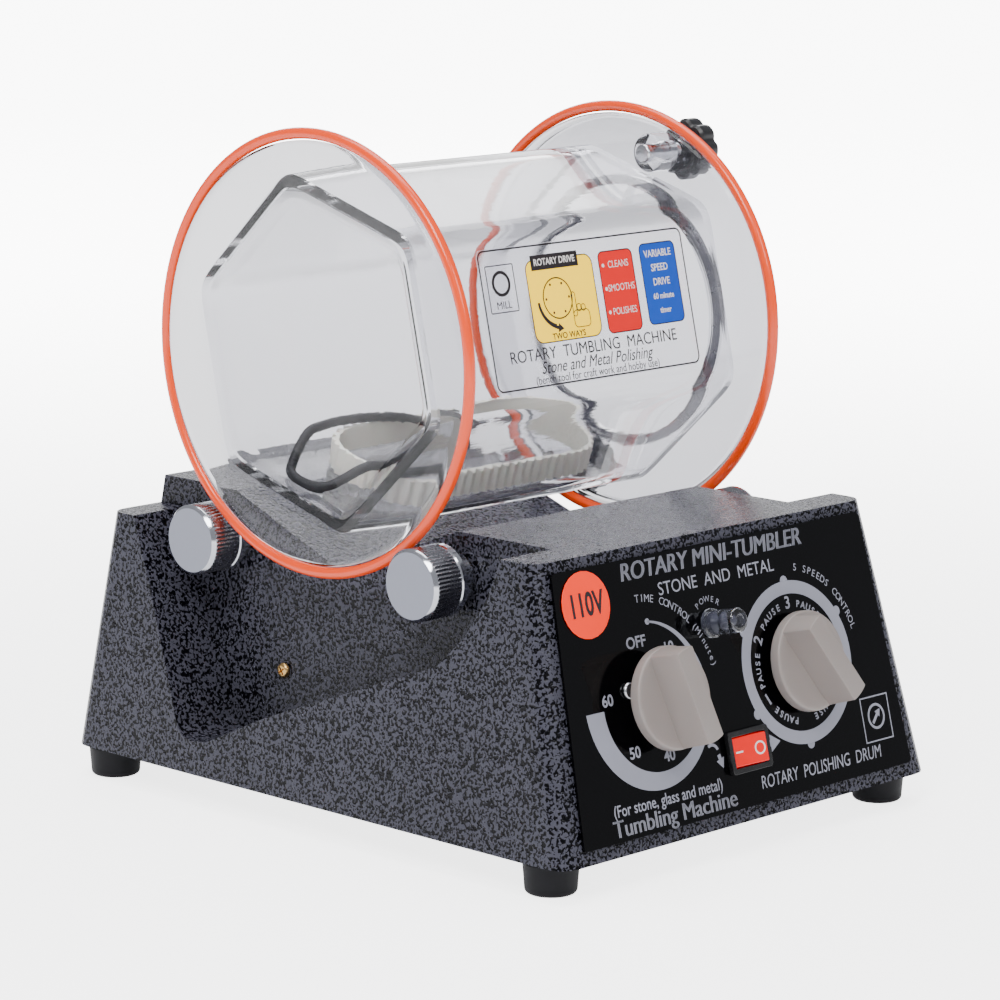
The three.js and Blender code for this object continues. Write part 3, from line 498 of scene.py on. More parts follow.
for row in ROWS:
    for side in SIDES:
        node = f"foot_{row}_{side}"
        seated(rubber_foot(node), "housing", "black_rubber", BLACK_RUBBER, node)
        dress(STEEL, f"foot_screw_{row}_{side}")
rounded_over("cord_grommet", "inlet_grommet", 0.0004, 3, "housing", "black_rubber", BLACK_RUBBER)

# ---------------------------------------------------------------- side screws
# Brass pan-head screws with a cross recess, one low in each end pocket, hold the shell to
# the motor bracket's frame.


def without(piece, cutter):
    """The piece with another cut out of it; the cutter is then thrown away."""
    cut = piece.modifiers.new("cut", "BOOLEAN")
    cut.object = cutter
    cut.operation = "DIFFERENCE"
    cut.solver = "EXACT"
    settled(piece)
    bpy.data.objects.remove(cutter)
    return piece


def box(name, size, place):
    """A box about a point."""
    edit = bmesh.new()
    bmesh.ops.create_cube(edit, size=1, matrix=Matrix.Diagonal((*size, 1)))
    return solid(name, edit, place)


def cross_head(name, radius, rise, place, stem=0.004):
    """A pan-head screw along local Z, its seat at the origin, with a straight-sided cross recess."""
    profile = [(0, -stem), (radius * 0.5, -stem), (radius * 0.5, 0), (radius * 0.96, 0)]
    profile += arc_corner((radius - rise * 0.75, rise * 0.25), rise * 0.75, 0, 80, 6)
    profile += [(radius * 0.35, rise), (0, rise * 1.02)]
    head = turned(name, profile, 40, place)
    arm = radius * 1.15
    slot = radius * 0.24
    depth = rise * 1.3
    skew = 0.6
    recess = place @ Matrix.Translation((0, 0, rise)) @ Matrix.Rotation(skew, 4, "Z")
    for size in ((arm, slot, depth), (slot, arm, depth)):
        head = without(head, box("recess", size, recess))
    return head


def facing(x_axis, y_axis, z_axis, origin):
    """The matrix of a local frame."""
    rows = Matrix((x_axis, y_axis, z_axis)).transposed().to_4x4()
    return Matrix.Translation(origin) @ rows


SIDE_SCREW_HEAD = 0.0019
BRASS = finished(
    "brass_screw", (0.62, 0.4, 0.16), 0.28,
    clouds=0.2, rough_spread=0.1, cloud_scale=500, grain_scale=3000, grain=0.1, Metallic=1.0,
)
for side, sign in (("left", -1), ("right", 1)):
    node = f"side_screw_{side}"
    low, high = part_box(node)
    seat_x = (low.x if sign < 0 else high.x) - sign * SIDE_SCREW_HEAD
    at = middle(node)
    place = facing((0, 1, 0), (0, 0, sign), (sign, 0, 0), (seat_x, at.y, at.z))
    seated(cross_head(f"brass_{node}", 0.0029, 0.0018, place, 0.008), "housing", "brass", BRASS, node)

# ---------------------------------------------------------------- rollers
# Four steel rollers, chromed and pinned to their shafts: a bevelled cap, a knurled band
# that grips the tire, a bright flange and a smooth collar with a set screw.


def bright_plate(name, colour, rough, cloud_scale):
    """Chrome plate with hardly any change of colour or gloss, and a very fine grain."""
    return finished(
        name, colour, rough,
        clouds=0.04, rough_spread=0.05, cloud_scale=cloud_scale, grain_scale=4000, grain=0.04,
        Metallic=1.0,
    )


CHROME = bright_plate("roller_plate", (0.6, 0.61, 0.66), 0.12, 300)
# The cap faces get a darker, duller copy of the roller plate: painted shade, standing in for the dim
# reflection those end faces show.
CAP_SHADED_PLATE = bright_plate("roller_cap_face", (0.27, 0.28, 0.33), 0.34, 700)
KNURL = bright_plate("roller_knurl", (0.33, 0.33, 0.36), 0.26, 900)
KNURL_RIDGES = 56
KNURL_DEPTH = 0.00042


def roller(node, sign):
    """The roller's profile runs in from its cap; local Z points outwards along the shaft."""
    low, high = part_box(node)
    at = (low + high) / 2
    radius = (high.z - low.z) / 2
    outer = high.x if sign > 0 else -low.x
    length = high.x - low.x
    cap, band, ring = 0.0016, 0.0131, 0.0163
    collar = 0.0102
    profile = [(0, 0), (radius - 0.0012, 0)]
    profile += [(radius - 0.0002, -0.001), (radius, -0.0013)]
    profile += [(radius, -cap + 0.0003), (radius - 0.0005, -cap)]
    first = len(profile)
    profile += [(radius - 0.0001, -cap - 0.0004), (radius - 0.0001, -band + 0.0004)]
    last = len(profile)
    profile += [(radius - 0.0005, -band), (radius, -band - 0.0004), (radius, -ring + 0.0007)]
    profile += [(radius - 0.0007, -ring), (collar, -ring), (collar, -length + 0.0005)]
    bore, deep = 0.0043, 0.004
    profile += [(collar - 0.0005, -length), (bore, -length), (bore, -length + deep), (0, -length + deep)]

    def ridged(row, angle):
        if not first <= row < last:
            return 1
        wave = 0.5 - 0.5 * math.cos(KNURL_RIDGES * angle)
        return 1 - KNURL_DEPTH / radius * wave

    place = facing((0, 1, 0), (0, 0, sign), (sign, 0, 0), (sign * outer, at.y, at.z))
    piece = turned(f"chromed_{node}", profile, KNURL_RIDGES * 5, place, ridged)
    for material in (CHROME, CAP_SHADED_PLATE, KNURL):
        piece.data.materials.append(material)
    for face in piece.data.polygons:
        inward = outer - sign * face.center.x
        # Faces at the outer end take the darker copy of the plate, which is painted shade.
        if inward < 0.0002:
            face.material_index = 1
        elif cap < inward < band:
            face.material_index = 2
    return piece


for row in ROWS:
    for side, sign in (("left", -1), ("right", 1)):
        node = f"roller_{row}_{side}"
        piece = roller(node, sign)
        pin = middle(f"set_screw_{row}_{side}")
        hole = turned("hole", [(0, 0), (0.0023, 0), (0.0023, 0.02), (0, 0.02)], 32,
                      Matrix.Translation((pin.x, middle(node).y, middle(node).z)))
        seated(without(piece, hole), f"{row}_roller_shaft", "roller_chrome", CHROME, node)
        dress(STEEL, f"set_screw_{row}_{side}")

# ---------------------------------------------------------------- control panel
# A thin black acrylic sheet glued to the sloping front, printed from the front in silver:
# a title, the timer's tapering scale, the five-speed ring and their legends.

PANEL_FINISH = finished(
    "panel_acrylic", (0.0008, 0.0008, 0.0012), 0.07,
    clouds=0.3, rough_spread=0.02, cloud_scale=14, grain_scale=900, grain=0.01,
    Specular_IOR_Level=0.22,
)
SILVER_INK = finished(
    "silver_ink", (0.27, 0.275, 0.33), 0.42,
    clouds=0.05, rough_spread=0.05, cloud_scale=200, grain_scale=4000, grain=0.1,
)
rounded_over("control_panel", "panel_sheet", 0.0003, 2, "housing", "panel_gloss", PANEL_FINISH)


def joint_named(name):
    return next(joint for joint in frame["joints"] if joint["name"] == name)


timer_joint = joint_named("timer_turn")
rocker_joint = joint_named("rocker_rock")
panel_out = Vector(timer_joint["axis"]).normalized()
panel_up = Vector((1, 0, 0)).cross(panel_out) * -1
PANEL_FACE = 0.0013


def on_panel(lift=0.0, u=0.0, w=0.0, turn=0.0):
    """A frame on the front face: X across, Y up the slope, Z out of it, above the sheet by lift."""
    spot = PANEL_ORIGIN + Vector((u, 0, 0)) + panel_up * w + panel_out * (PANEL_FACE + lift)
    return facing((1, 0, 0), panel_up, panel_out, spot) @ Matrix.Rotation(math.radians(turn), 4, "Z")


TIMER_AT = (-0.0428, 0.0495)
SPEED_AT = (0.0344, 0.0503)
LAMP_AT = (-0.007, 0.0706)
TIMER_BACK = 0.0085
SPEED_BACK = 0.0045
PANEL_ORIGIN = Vector(timer_joint["pos_m"]) - Vector((TIMER_AT[0], 0, 0))
PANEL_ORIGIN -= panel_up * TIMER_AT[1] + panel_out * TIMER_BACK


def ink_text(ink, text, size, at, turn=0.0, bold=0.0, slant=0.0, squeeze=1.0):
    """Lettering centred on a point, added to a flat drawing."""
    curve = bpy.data.curves.new("lettering", "FONT")
    curve.body = text
    curve.size = size
    curve.shear = slant
    curve.offset = bold
    curve.align_x = "CENTER"
    curve.align_y = "CENTER"
    curve.resolution_u = 4
    holder = linked("lettering", curve)
    graph = bpy.context.evaluated_depsgraph_get()
    mesh = bpy.data.meshes.new_from_object(holder.evaluated_get(graph))
    mesh.transform(Matrix.Translation((*at, 0)) @ Matrix.Rotation(math.radians(turn), 4, "Z")
                   @ Matrix.Diagonal((squeeze, 1, 1, 1)))
    ink.from_mesh(mesh)
    bpy.data.objects.remove(holder)
    bpy.data.meshes.remove(mesh)


def ink_arc_text(ink, text, size, centre, radius, start, end, **style):
    """Letters spaced round a circle, reading clockwise from start to end in degrees."""
    for i, letter in enumerate(text):
        angle = start + (end - start) * i / max(len(text) - 1, 1)
        ink_text(ink, letter, size, polar(centre, radius, angle), angle - 90, **style)


def ink_face(ink, points):
    ink.faces.new([ink.verts.new((x, y, 0)) for x, y in points])


def ink_band(ink, centre, start, end, inner, outer, steps=64):
    """Part of a ring, its inner and outer radii functions of how far along it is."""
    spots = []
    for i in range(steps + 1):
        share = i / steps
        angle = start + (end - start) * share
        spots.append([
            ink.verts.new((*polar(centre, radius, angle), 0)) for radius in (inner(share), outer(share))
        ])
    for (a, b), (c, d) in zip(spots, spots[1:]):
        ink.faces.new((a, b, d, c))


def ink_ring(ink, centre, inner, outer, steps=40):
    """A whole ring of even width, or a dot where its inner radius is zero."""
    ink_band(ink, centre, 0, 360, lambda share: inner, lambda share: outer, steps)


def ink_box(ink, low, high, line=0.0):
    """A filled rectangle, or only its outline where a line width is given."""
    (x0, y0), (x1, y1) = low, high
    if not line:
        ink_face(ink, [(x0, y0), (x1, y0), (x1, y1), (x0, y1)])
        return
    ink_face(ink, [(x0, y0), (x1, y0), (x1, y0 + line), (x0, y0 + line)])
    ink_face(ink, [(x0, y1 - line), (x1, y1 - line), (x1, y1), (x0, y1)])
    ink_face(ink, [(x0, y0 + line), (x0 + line, y0 + line), (x0 + line, y1 - line), (x0, y1 - line)])
    ink_face(ink, [(x1 - line, y0 + line), (x1, y0 + line), (x1, y1 - line), (x1 - line, y1 - line)])


def printed(ink, name, place, material, body, slot, thickness=0.00003):
    """A flat drawing made into a film of ink on the face whose frame is given."""
    bmesh.ops.recalc_face_normals(ink, faces=ink.faces)
    for face in ink.faces:
        if face.normal.z < 0:
            face.normal_flip()
    mesh = bpy.data.meshes.new(name)
    ink.to_mesh(mesh)
    ink.free()
    piece = linked(name, mesh)
    film = piece.modifiers.new("film", "SOLIDIFY")
    film.thickness = thickness
    film.offset = 1
    settled(piece)
    piece.data.transform(place)
    return seated(piece, body, slot, material)


def timer_scale(ink):
    """A band that starts as a dot near the top and swells clockwise to the sixty mark."""
    start, end = 80.6, -180.0
    outer_far, outer_near = 0.0326, 0.0272
    inner_far, inner_near = 0.0238, 0.0266
    ink_band(ink, TIMER_AT, start, end,
             lambda share: inner_near + (inner_far - inner_near) * share,
             lambda share: outer_near + (outer_far - outer_near) * share, 96)
    ink_ring(ink, polar(TIMER_AT, 0.0269, start), 0, 0.0011, 20)
    marks = (("OFF", 98), ("10", 52), ("20", 10), ("30", -35), ("40", -78), ("50", -127), ("60", 172))
    for number, angle in marks:
        far = 0.0205 if number != "60" else 0.0215
        ink_text(ink, number, 0.0056, polar(TIMER_AT, far, angle), bold=0.00012)
    heading = 0.0348
    ink_arc_text(ink, "TIME CONTROL", 0.0038, TIMER_AT, heading, 88, 44)
    ink_arc_text(ink, "(Minute)", 0.0034, TIMER_AT, heading, 38, 12)


def speed_scale(ink):
    """A ring with six bumps, and inside it the five speeds with a pause between them."""
    inner, outer = 0.0245, 0.0292
    numbers, pauses = 0.0212, 0.0208
    ink_ring(ink, SPEED_AT, inner, outer, 120)
    for angle in (90, 150, 210, 270, 330, 30):
        ink_band(ink, polar(SPEED_AT, outer, angle), angle - 90, angle + 90,
                 lambda share: 0, lambda share: 0.0019, 16)
    for text, angle in (("3", 90), ("2", 150), ("1", 210), ("5", 330), ("4", 30)):
        turn = angle - 90 if angle < 200 else angle - 180
        ink_text(ink, text, 0.0062, polar(SPEED_AT, numbers, angle), turn, bold=0.00012)
    for angle in (60, 120, 180, 240, 300):
        ink_arc_text(ink, "PAUSE", 0.0034, SPEED_AT, pauses, angle + 15, angle - 15, bold=0.00008)
    ink_arc_text(ink, "5 SPEEDS CONTROL", 0.0037, SPEED_AT, 0.0338, 78, 14)


def arrow(ink, tail, head, width):
    """A straight arrow between two points."""
    start, end = Vector(tail), Vector(head)
    ahead = (end - start).normalized()
    across = Vector((-ahead.y, ahead.x)) * width
    neck = end - ahead * width * 2.2
    ink_face(ink, [start + across * 0.5, start - across * 0.5, neck - across * 0.5, neck + across * 0.5])
    ink_face(ink, [neck + across * 1.3, neck - across * 1.3, end])


def panel_print():
    ink = bmesh.new()
    for shift in (-0.0002, 0, 0.0002):
        ink_text(ink, "ROTARY MINI-TUMBLER", 0.0088, (-0.0005 + shift, 0.0938), slant=0.15)
    ink_text(ink, "STONE  AND  METAL", 0.0064, (0, 0.0858))
    timer_scale(ink)
    speed_scale(ink)
    ink_arc_text(ink, "POWER", 0.003, LAMP_AT, 0.0085, 128, 52)
    arrow(ink, (0.0115, 0.0247), (0.0185, 0.0247), 0.0024)
    ink_band(ink, (-0.0172, 0.0262), 120, 20, lambda share: 0.0026, lambda share: 0.0037, 16)
    arrow(ink, (-0.0142, 0.0255), (-0.0128, 0.0205), 0.0016)
    ink_box(ink, (0.064, 0.0155), (0.0795, 0.032), 0.0005)
    ink_ring(ink, (0.07175, 0.0245), 0.0038, 0.0047)
    arrow(ink, (0.0695, 0.0222), (0.0742, 0.0270), 0.0012)
    ink_text(ink, "(For stone, glass and metal)", 0.0058, (-0.0425, 0.0152), bold=0.00005, squeeze=0.86)
    for shift in (-0.00015, 0.00015):
        ink_text(ink, "Tumbling Machine", 0.0084, (-0.04 + shift, 0.0092), squeeze=1.02)
    ink_text(ink, "ROTARY  POLISHING  DRUM", 0.0066, (0.038, 0.0118), slant=0.1, squeeze=0.78)
    printed(ink, "panel_print", on_panel(), SILVER_INK, "housing", "panel_gloss")


panel_print()

# ---------------------------------------------------------------- voltage sticker
# A round vinyl sticker, glossy fluorescent orange with a faint painted glow, with its figures printed in
# black.

# The sticker vinyl's orange emission is a painted glow: the sticker is no lamp.
STICKER = finished(
    "sticker_vinyl", (1.0, 0.035, 0.005), 0.2,
    clouds=0.03, rough_spread=0.04, cloud_scale=60, grain_scale=1500, grain=0.03,
    Emission_Color=(1.0, 0.04, 0.0, 1), Emission_Strength=0.3,
)
BLACK_INK = finished(
    "black_ink", (0.012, 0.008, 0.01), 0.35,
    clouds=0.1, rough_spread=0.05, cloud_scale=300, grain_scale=3000, grain=0.05,
)
rounded_over("voltage_sticker", "round_sticker", 0.0001, 2, "housing", "sticker_orange", STICKER)
sticker_ink = bmesh.new()
ink_text(sticker_ink, "110V", 0.0112, (-0.067, 0.0858), bold=0.0003, squeeze=0.72)
printed(sticker_ink, "sticker_print", on_panel(0.0006), BLACK_INK, "housing", "sticker_orange")

# ---------------------------------------------------------------- pointer knobs
# Warm grey moulded knobs pushed on to their spindles: a rimmed disc with a slightly dished
# face and a tapered grip bar across it, every edge softly rounded.

KNOB_PLASTIC = finished(
    "knob_moulding", (0.27, 0.235, 0.22), 0.42,
    clouds=0.05, rough_spread=0.06, cloud_scale=90, grain_scale=1800, grain=0.12,
    Subsurface_Weight=0.08, Subsurface_Scale=0.001,
)


def joined(name, *pieces):
    """Solids united into one."""
    first = pieces[0]
    for other in pieces[1:]:
        unite = first.modifiers.new("join", "BOOLEAN")
        unite.object = other
        unite.operation = "UNION"
        unite.solver = "EXACT"
    settled(first)
    for other in pieces[1:]:
        bpy.data.objects.remove(other)
    first.name = name
    return first


def pointer_knob(name, u, w, back, turn):
    radius, height, disc = 0.018, 0.016, 0.0042
    half_foot, half_top = 0.005, 0.0041
    place = on_panel(back - PANEL_FACE, u, w, turn)
    rim = [(0, 0), (radius - 0.0005, 0)]
    rim += arc_corner((radius - 0.0006, 0.0006), 0.0006, 280, 360, 3)
    rim += arc_corner((radius - 0.0009, disc - 0.0009), 0.0008, 0, 90, 4)
    rim += [(radius - 0.0022, disc - 0.0001), (radius - 0.004, disc - 0.0006), (0, disc - 0.0007)]
    body = turned("disc", rim, 128, place)
    edit = bmesh.new()
    sections = []
    for y in (-radius * 1.2, radius * 1.2):
        corners = ((-half_foot, 0.001), (half_foot, 0.001), (half_top, height), (-half_top, height))
        sections.append([edit.verts.new((x, y, z)) for x, z in corners])
    edit.faces.new(sections[0])
    edit.faces.new(reversed(sections[1]))
    skin(edit, sections)
    bar = solid("bar", edit, place)
    over = height + 0.001
    around = turned("around", [(0, 0), (radius - 0.0001, 0), (radius - 0.0012, over), (0, over)], 96, place)
    keep = bar.modifiers.new("keep", "BOOLEAN")
    keep.object = around
    keep.operation = "INTERSECT"
    keep.solver = "EXACT"
    edges = bar.modifiers.new("edges", "BEVEL")
    edges.width = 0.0007
    edges.segments = 4
    edges.limit_method = "ANGLE"
    edges.angle_limit = math.radians(35)
    settled(bar)
    bpy.data.objects.remove(around)
    return joined(name, body, bar)


for body, at, back, turn in (("timer", TIMER_AT, TIMER_BACK, 14), ("speed", SPEED_AT, SPEED_BACK, 32)):
    piece = pointer_knob(f"{body}_pointer", *at, back, turn)
    seated(piece, body, "knob_grey", KNOB_PLASTIC, f"{body}_knob")
for i in (1, 2):
    node = f"timer_screw_{i}"
    at = middle(node)
    across = at - PANEL_ORIGIN
    place = on_panel(0.0003, across.dot(Vector((1, 0, 0))), across.dot(panel_up))
    seated(cross_head(f"plated_{node}", 0.003, 0.0017, place, 0.006), "housing", "steel", STEEL, node)

# ---------------------------------------------------------------- pilot lamp
# A clear moulded lens pushed through the panel, with a dull lamp inside it.


def clear_material(name, tint, rough, ior=1.49, streak=0.12, streak_scale=(14, 60, 60), coat=0.5):
    """Clear plastic that lets lamps through, with faint flow lines from the mould."""
    material, tree, shader = principled(name, Base_Color=(*tint, 1), IOR=ior, Transmission_Weight=1.0,
                                        Coat_Weight=coat, Coat_Roughness=0.02)
    place = add(tree, "ShaderNodeTexCoord").outputs["Object"]
    pulled = add(tree, "ShaderNodeVectorMath", [(0, place)], operation="MULTIPLY")
    pulled.inputs[1].default_value = streak_scale
    flow = add(tree, "ShaderNodeTexNoise", [("Vector", pulled.outputs[0])], Scale=3.0, Detail=5.0,
               Distortion=0.8)
    gloss = add(tree, "ShaderNodeMapRange", [("Value", flow.outputs["Fac"])], To_Min=rough * 0.5,
                To_Max=rough * 1.5)
    tree.links.new(gloss.outputs[0], shader.inputs["Roughness"])
    raise_from(tree, shader, flow.outputs["Fac"], streak, 0.0006)
    clear = add(tree, "ShaderNodeBsdfTransparent")
    clear.inputs["Color"].default_value = (*tint, 1)
    path = add(tree, "ShaderNodeLightPath")
    mixed = add(tree, "ShaderNodeMixShader", [
        (0, path.outputs["Is Shadow Ray"]), (1, shader.outputs[0]), (2, clear.outputs[0]),
    ])
    tree.links.new(mixed.outputs[0], tree.nodes["Material Output"].inputs["Surface"])
    return material


LENS = clear_material("lamp_lens", (0.75, 0.78, 0.86), 0.05)


def pilot_lamp():
    radius, height = 0.0044, 0.014
    profile = [(0, -0.011), (0.0039, -0.011), (0.0039, 0.0003), (0.0052, 0.0003), (0.0052, 0.0014)]
    profile += [(radius, 0.0017), (radius, height - 0.0012)]
    profile += arc_corner((radius - 0.0012, height - 0.0012), 0.0012, 10, 80, 4)
    profile += [(0.0022, height), (0.0018, height - 0.0004), (0, height - 0.0006)]
    return turned("lamp_lens", profile, 64, on_panel(0, *LAMP_AT))


def lamp_bulb():
    """The lamp itself, a glass bead on a dark seat inside the lens."""
    profile = [(0, -0.006), (0.0026, -0.006), (0.0026, 0.003), (0.0022, 0.0035)]
    profile += arc_corner((0, 0.0075), 0.0021, -60, 90, 8)
    return turned("lamp_bulb", profile, 40, on_panel(0, *LAMP_AT))


seated(pilot_lamp(), "housing", "lamp_lens", LENS, "pilot_lamp")
BULB = finished(
    "lamp_bead", (0.05, 0.05, 0.065), 0.15,
    clouds=0.3, rough_spread=0.05, cloud_scale=500, grain_scale=2000, grain=0.05,
)
seated(lamp_bulb(), "housing", "lamp_lens", BULB)

# ---------------------------------------------------------------- rocker switch
# A snap-in power switch: a black bezel and body, and a glossy red rocker marked with a
# white bar and ring.

SWITCH_BLACK = finished(
    "switch_body", (0.008, 0.008, 0.009), 0.25,
    clouds=0.2, rough_spread=0.06, cloud_scale=200, grain_scale=2500, grain=0.08,
)
# The rocker moulding's red emission is a painted glow: the rocker is no lamp.
ROCKER_RED = finished(
    "rocker_moulding", (0.8, 0.002, 0.0), 0.22,
    clouds=0.05, rough_spread=0.05, cloud_scale=300, grain_scale=2500, grain=0.05,
    Emission_Color=(1.0, 0.0, 0.0, 1), Emission_Strength=0.2,
)
WHITE_INK = finished(
    "white_ink", (0.85, 0.8, 0.78), 0.4,
    clouds=0.04, rough_spread=0.05, cloud_scale=300, grain_scale=3000, grain=0.05,
)
rounded_over("switch_housing", "switch_bezel", 0.0003, 2, "housing", "black_plastic", SWITCH_BLACK)
rounded_over("rocker_button", "rocker_cap", 0.0004, 3, "rocker", "rocker_red", ROCKER_RED)


def rocker_marks():
    """The bar and the ring, each on its half of the rocker's face."""
    tilt, dish = math.radians(-7), math.radians(3)
    pivot = Vector(rocker_joint["pos_m"])
    dip = 0.0050
    stance = facing((1, 0, 0), panel_up, panel_out, pivot) @ Matrix.Rotation(tilt, 4, "Y")
    for name, sign in (("rocker_bar", -1), ("rocker_ring", 1)):
        ink = bmesh.new()
        if sign < 0:
            ink_box(ink, (-0.0051 - 0.0017, -0.0003), (-0.0051 + 0.0017, 0.0003))
        else:
            ink_ring(ink, (0.0046, 0), 0.0018, 0.0024)
        half = stance @ Matrix.Translation((0, 0, dip + 0.00004)) @ Matrix.Rotation(-sign * dish, 4, "Y")
        printed(ink, name, half, WHITE_INK, "rocker", "rocker_red")


rocker_marks()

# ---------------------------------------------------------------- barrel tube and end discs
# Injection-moulded clear plastic: a six-sided tube with rounded corners, a closed disc at
# the left whose hexagonal window is sunk on a sloping band, and an open disc at the mouth.

CLEAR = clear_material("clear_barrel", (0.86, 0.86, 0.885), 0.02, ior=1.14)
BARREL_AT = Vector(joint_named("barrel_spin")["pos_m"])
TO_BARREL = facing((0, 1, 0), (0, 0, 1), (1, 0, 0), BARREL_AT)
HEX_TURN = math.radians(17)
CORNER_POWER = 24
HEX_APOTHEM = 0.066 * math.cos(math.pi / 6)
HEX_WALL = 0.004
DISC_MIDDLE = 0.079
DISC_HALF = 0.002
FLANGE_RADIUS = 0.07565
LOOP_STEPS = 300


def hexagon(apothem):
    """A six-sided outline with rounded corners, as a radius at each angle."""
    def radius(angle):
        total = 0.0
        for k in range(6):
            facet = HEX_TURN + math.pi / 6 + k * math.pi / 3
            total += max(math.cos(angle - facet), 0.0) ** CORNER_POWER
        return apothem / total ** (1 / CORNER_POWER)
    return radius


def circle(size):
    return lambda angle: size


def barrel_skin(name, rows, closed=False):
    """A loft along the barrel's axis."""
    return lofted(name, rows, LOOP_STEPS, TO_BARREL, closed, 40)


def hex_tube():
    end = DISC_MIDDLE - DISC_HALF - 0.0003
    outer, inner = HEX_APOTHEM, HEX_APOTHEM - HEX_WALL
    edge = 0.0006
    return barrel_skin("barrel_hex_tube", [
        (hexagon(outer - edge), -end), (hexagon(outer), -end + edge), (hexagon(outer), end - edge),
        (hexagon(outer - edge), end), (hexagon(inner + edge), end), (hexagon(inner), end - edge),
        (hexagon(inner), -end + edge), (hexagon(inner + edge), -end),
    ], closed=True)


def closed_disc():
    out, back = DISC_MIDDLE + DISC_HALF, DISC_MIDDLE - DISC_HALF
    window = 0.0577 * math.cos(math.pi / 6)
    sunk = 0.004
    band = 0.0052
    plug = HEX_APOTHEM - HEX_WALL - 0.0003
    floor = back - sunk + 0.0002
    return barrel_skin("closed_end_moulding", [
        (None, -(out - sunk)), (hexagon(window - 0.0012), -(out - sunk)),
        (hexagon(window), -(out - sunk) - 0.0004),
        (hexagon(window + band - 0.0008), -out + 0.0003), (hexagon(window + band), -out),
        (circle(FLANGE_RADIUS - 0.0022), -out), (circle(FLANGE_RADIUS - 0.0008), -out + 0.0004),
        (circle(FLANGE_RADIUS - 0.0001), -out + 0.0014), (circle(FLANGE_RADIUS - 0.0001), -back - 0.0012),
        (circle(FLANGE_RADIUS - 0.001), -back), (hexagon(plug), -back),
        (hexagon(window - 0.0014), -floor - 0.0003),
        (hexagon(window - 0.0024), -floor), (None, -floor),
    ])


def mouth_ring():
    out, back = DISC_MIDDLE + DISC_HALF, DISC_MIDDLE - DISC_HALF
    mouth = 0.047
    edge = 0.0007
    return barrel_skin("mouth_flange", [
        (circle(mouth), back + edge), (circle(mouth + edge), back), (circle(FLANGE_RADIUS - 0.001), back),
        (circle(FLANGE_RADIUS - 0.0001), back + 0.001), (circle(FLANGE_RADIUS - 0.0001), out - 0.001),
        (circle(FLANGE_RADIUS - 0.001), out), (circle(mouth + edge), out), (circle(mouth), out - edge),
    ], closed=True)


def stud_frame(i):
    """A frame on the stud's own axis, at the middle of the barrel, pointing to the mouth."""
    at = middle(f"lid_stud_{i}")
    return facing((0, 1, 0), (0, 0, 1), (1, 0, 0), (BARREL_AT.x, at.y, at.z))


def stud_boss(i):
    back = DISC_MIDDLE - DISC_HALF
    profile = [(0.0034, back - 0.0002), (0.0074, back - 0.0002), (0.0072, back - 0.007)]
    profile += arc_corner((0.0061, back - 0.0079), 0.0011, 0, -90, 4) + [(0.0034, back - 0.009)]
    profile += [(0.0034, back - 0.0002)]
    return turned(f"stud_boss_{i}", profile, 64, stud_frame(i))


seated(hex_tube(), "barrel", "clear_plastic", CLEAR, "barrel_tube")
seated(closed_disc(), "barrel", "clear_plastic", CLEAR, "closed_end_disc")
seated(mouth_ring(), "barrel", "clear_plastic", CLEAR, "mouth_disc")
for i in (1, 2):
    seated(stud_boss(i), "barrel", "clear_plastic", CLEAR)

# ---------------------------------------------------------------- tires
# Stretched rings of glossy orange rubber cord, seated in the rim of each disc. They run on
# the knurled bands and carry the barrel.

# The tire rubber's faint orange emission is a painted glow: rubber is no lamp.
TIRE_RUBBER = finished(
    "tire_rubber", (0.9, 0.062, 0.0), 0.24,
    clouds=0.04, rough_spread=0.06, cloud_scale=40, grain_scale=1200, grain=0.04,
    Subsurface_Weight=0.1, Subsurface_Scale=0.002, Coat_Weight=0.3, Coat_Roughness=0.1,
    Emission_Color=(1.0, 0.09, 0.0, 1), Emission_Strength=0.08,
)


def tire(side, sign):
    section, reach = 0.00205, 0.078
    profile = arc_corner((reach, sign * DISC_MIDDLE), section, 0, 360, 24)
    return turned(f"rubber_tire_{side}", profile, 220, TO_BARREL)


for side, sign in (("left", -1), ("right", 1)):
    piece = tire(side, sign)
    edit = bmesh.new()
    edit.from_mesh(piece.data)
    bmesh.ops.remove_doubles(edit, verts=edit.verts, dist=1e-6)
    edit.to_mesh(piece.data)
    edit.free()
    seated(piece, "barrel", "tire_orange", TIRE_RUBBER, f"tire_{side}")

# ---------------------------------------------------------------- lid, gasket, studs and knobs
# The lid is a flat clear disc. A soft black ring seals it to the mouth, and two scalloped
# black knobs on steel studs clamp it.

LID_GAP = 0.0003
LID_THICKNESS = 0.004
LID_IN = DISC_MIDDLE + DISC_HALF + LID_GAP
LID_OUT = LID_IN + LID_THICKNESS
SEAL = clear_material("seal_rubber", (0.06, 0.06, 0.075), 0.3)


def lid_disc():
    size, groove_in, groove_out, deep = 0.074, 0.0459, 0.0501, 0.0016
    return turned("lid_moulding", [
        (0, LID_IN), (groove_in, LID_IN), (groove_in, LID_IN + deep), (groove_out, LID_IN + deep),
        (groove_out, LID_IN), (size - 0.0006, LID_IN), (size, LID_IN + 0.0006), (size, LID_OUT - 0.0006),
        (size - 0.0006, LID_OUT), (0, LID_OUT),
    ], 240, TO_BARREL)


def lid_seal():
    low, high, inner, outer = LID_IN + 0.0001, LID_IN + 0.0013, 0.0462, 0.0498
    return turned("lid_seal", [
        (inner + 0.0004, low), (outer - 0.0004, low), (outer, low + 0.0004), (outer, high - 0.0003),
        (outer - 0.0004, high), (inner + 0.0004, high), (inner, high - 0.0003), (inner, low + 0.0004),
        (inner + 0.0004, low),
    ], 200, TO_BARREL)


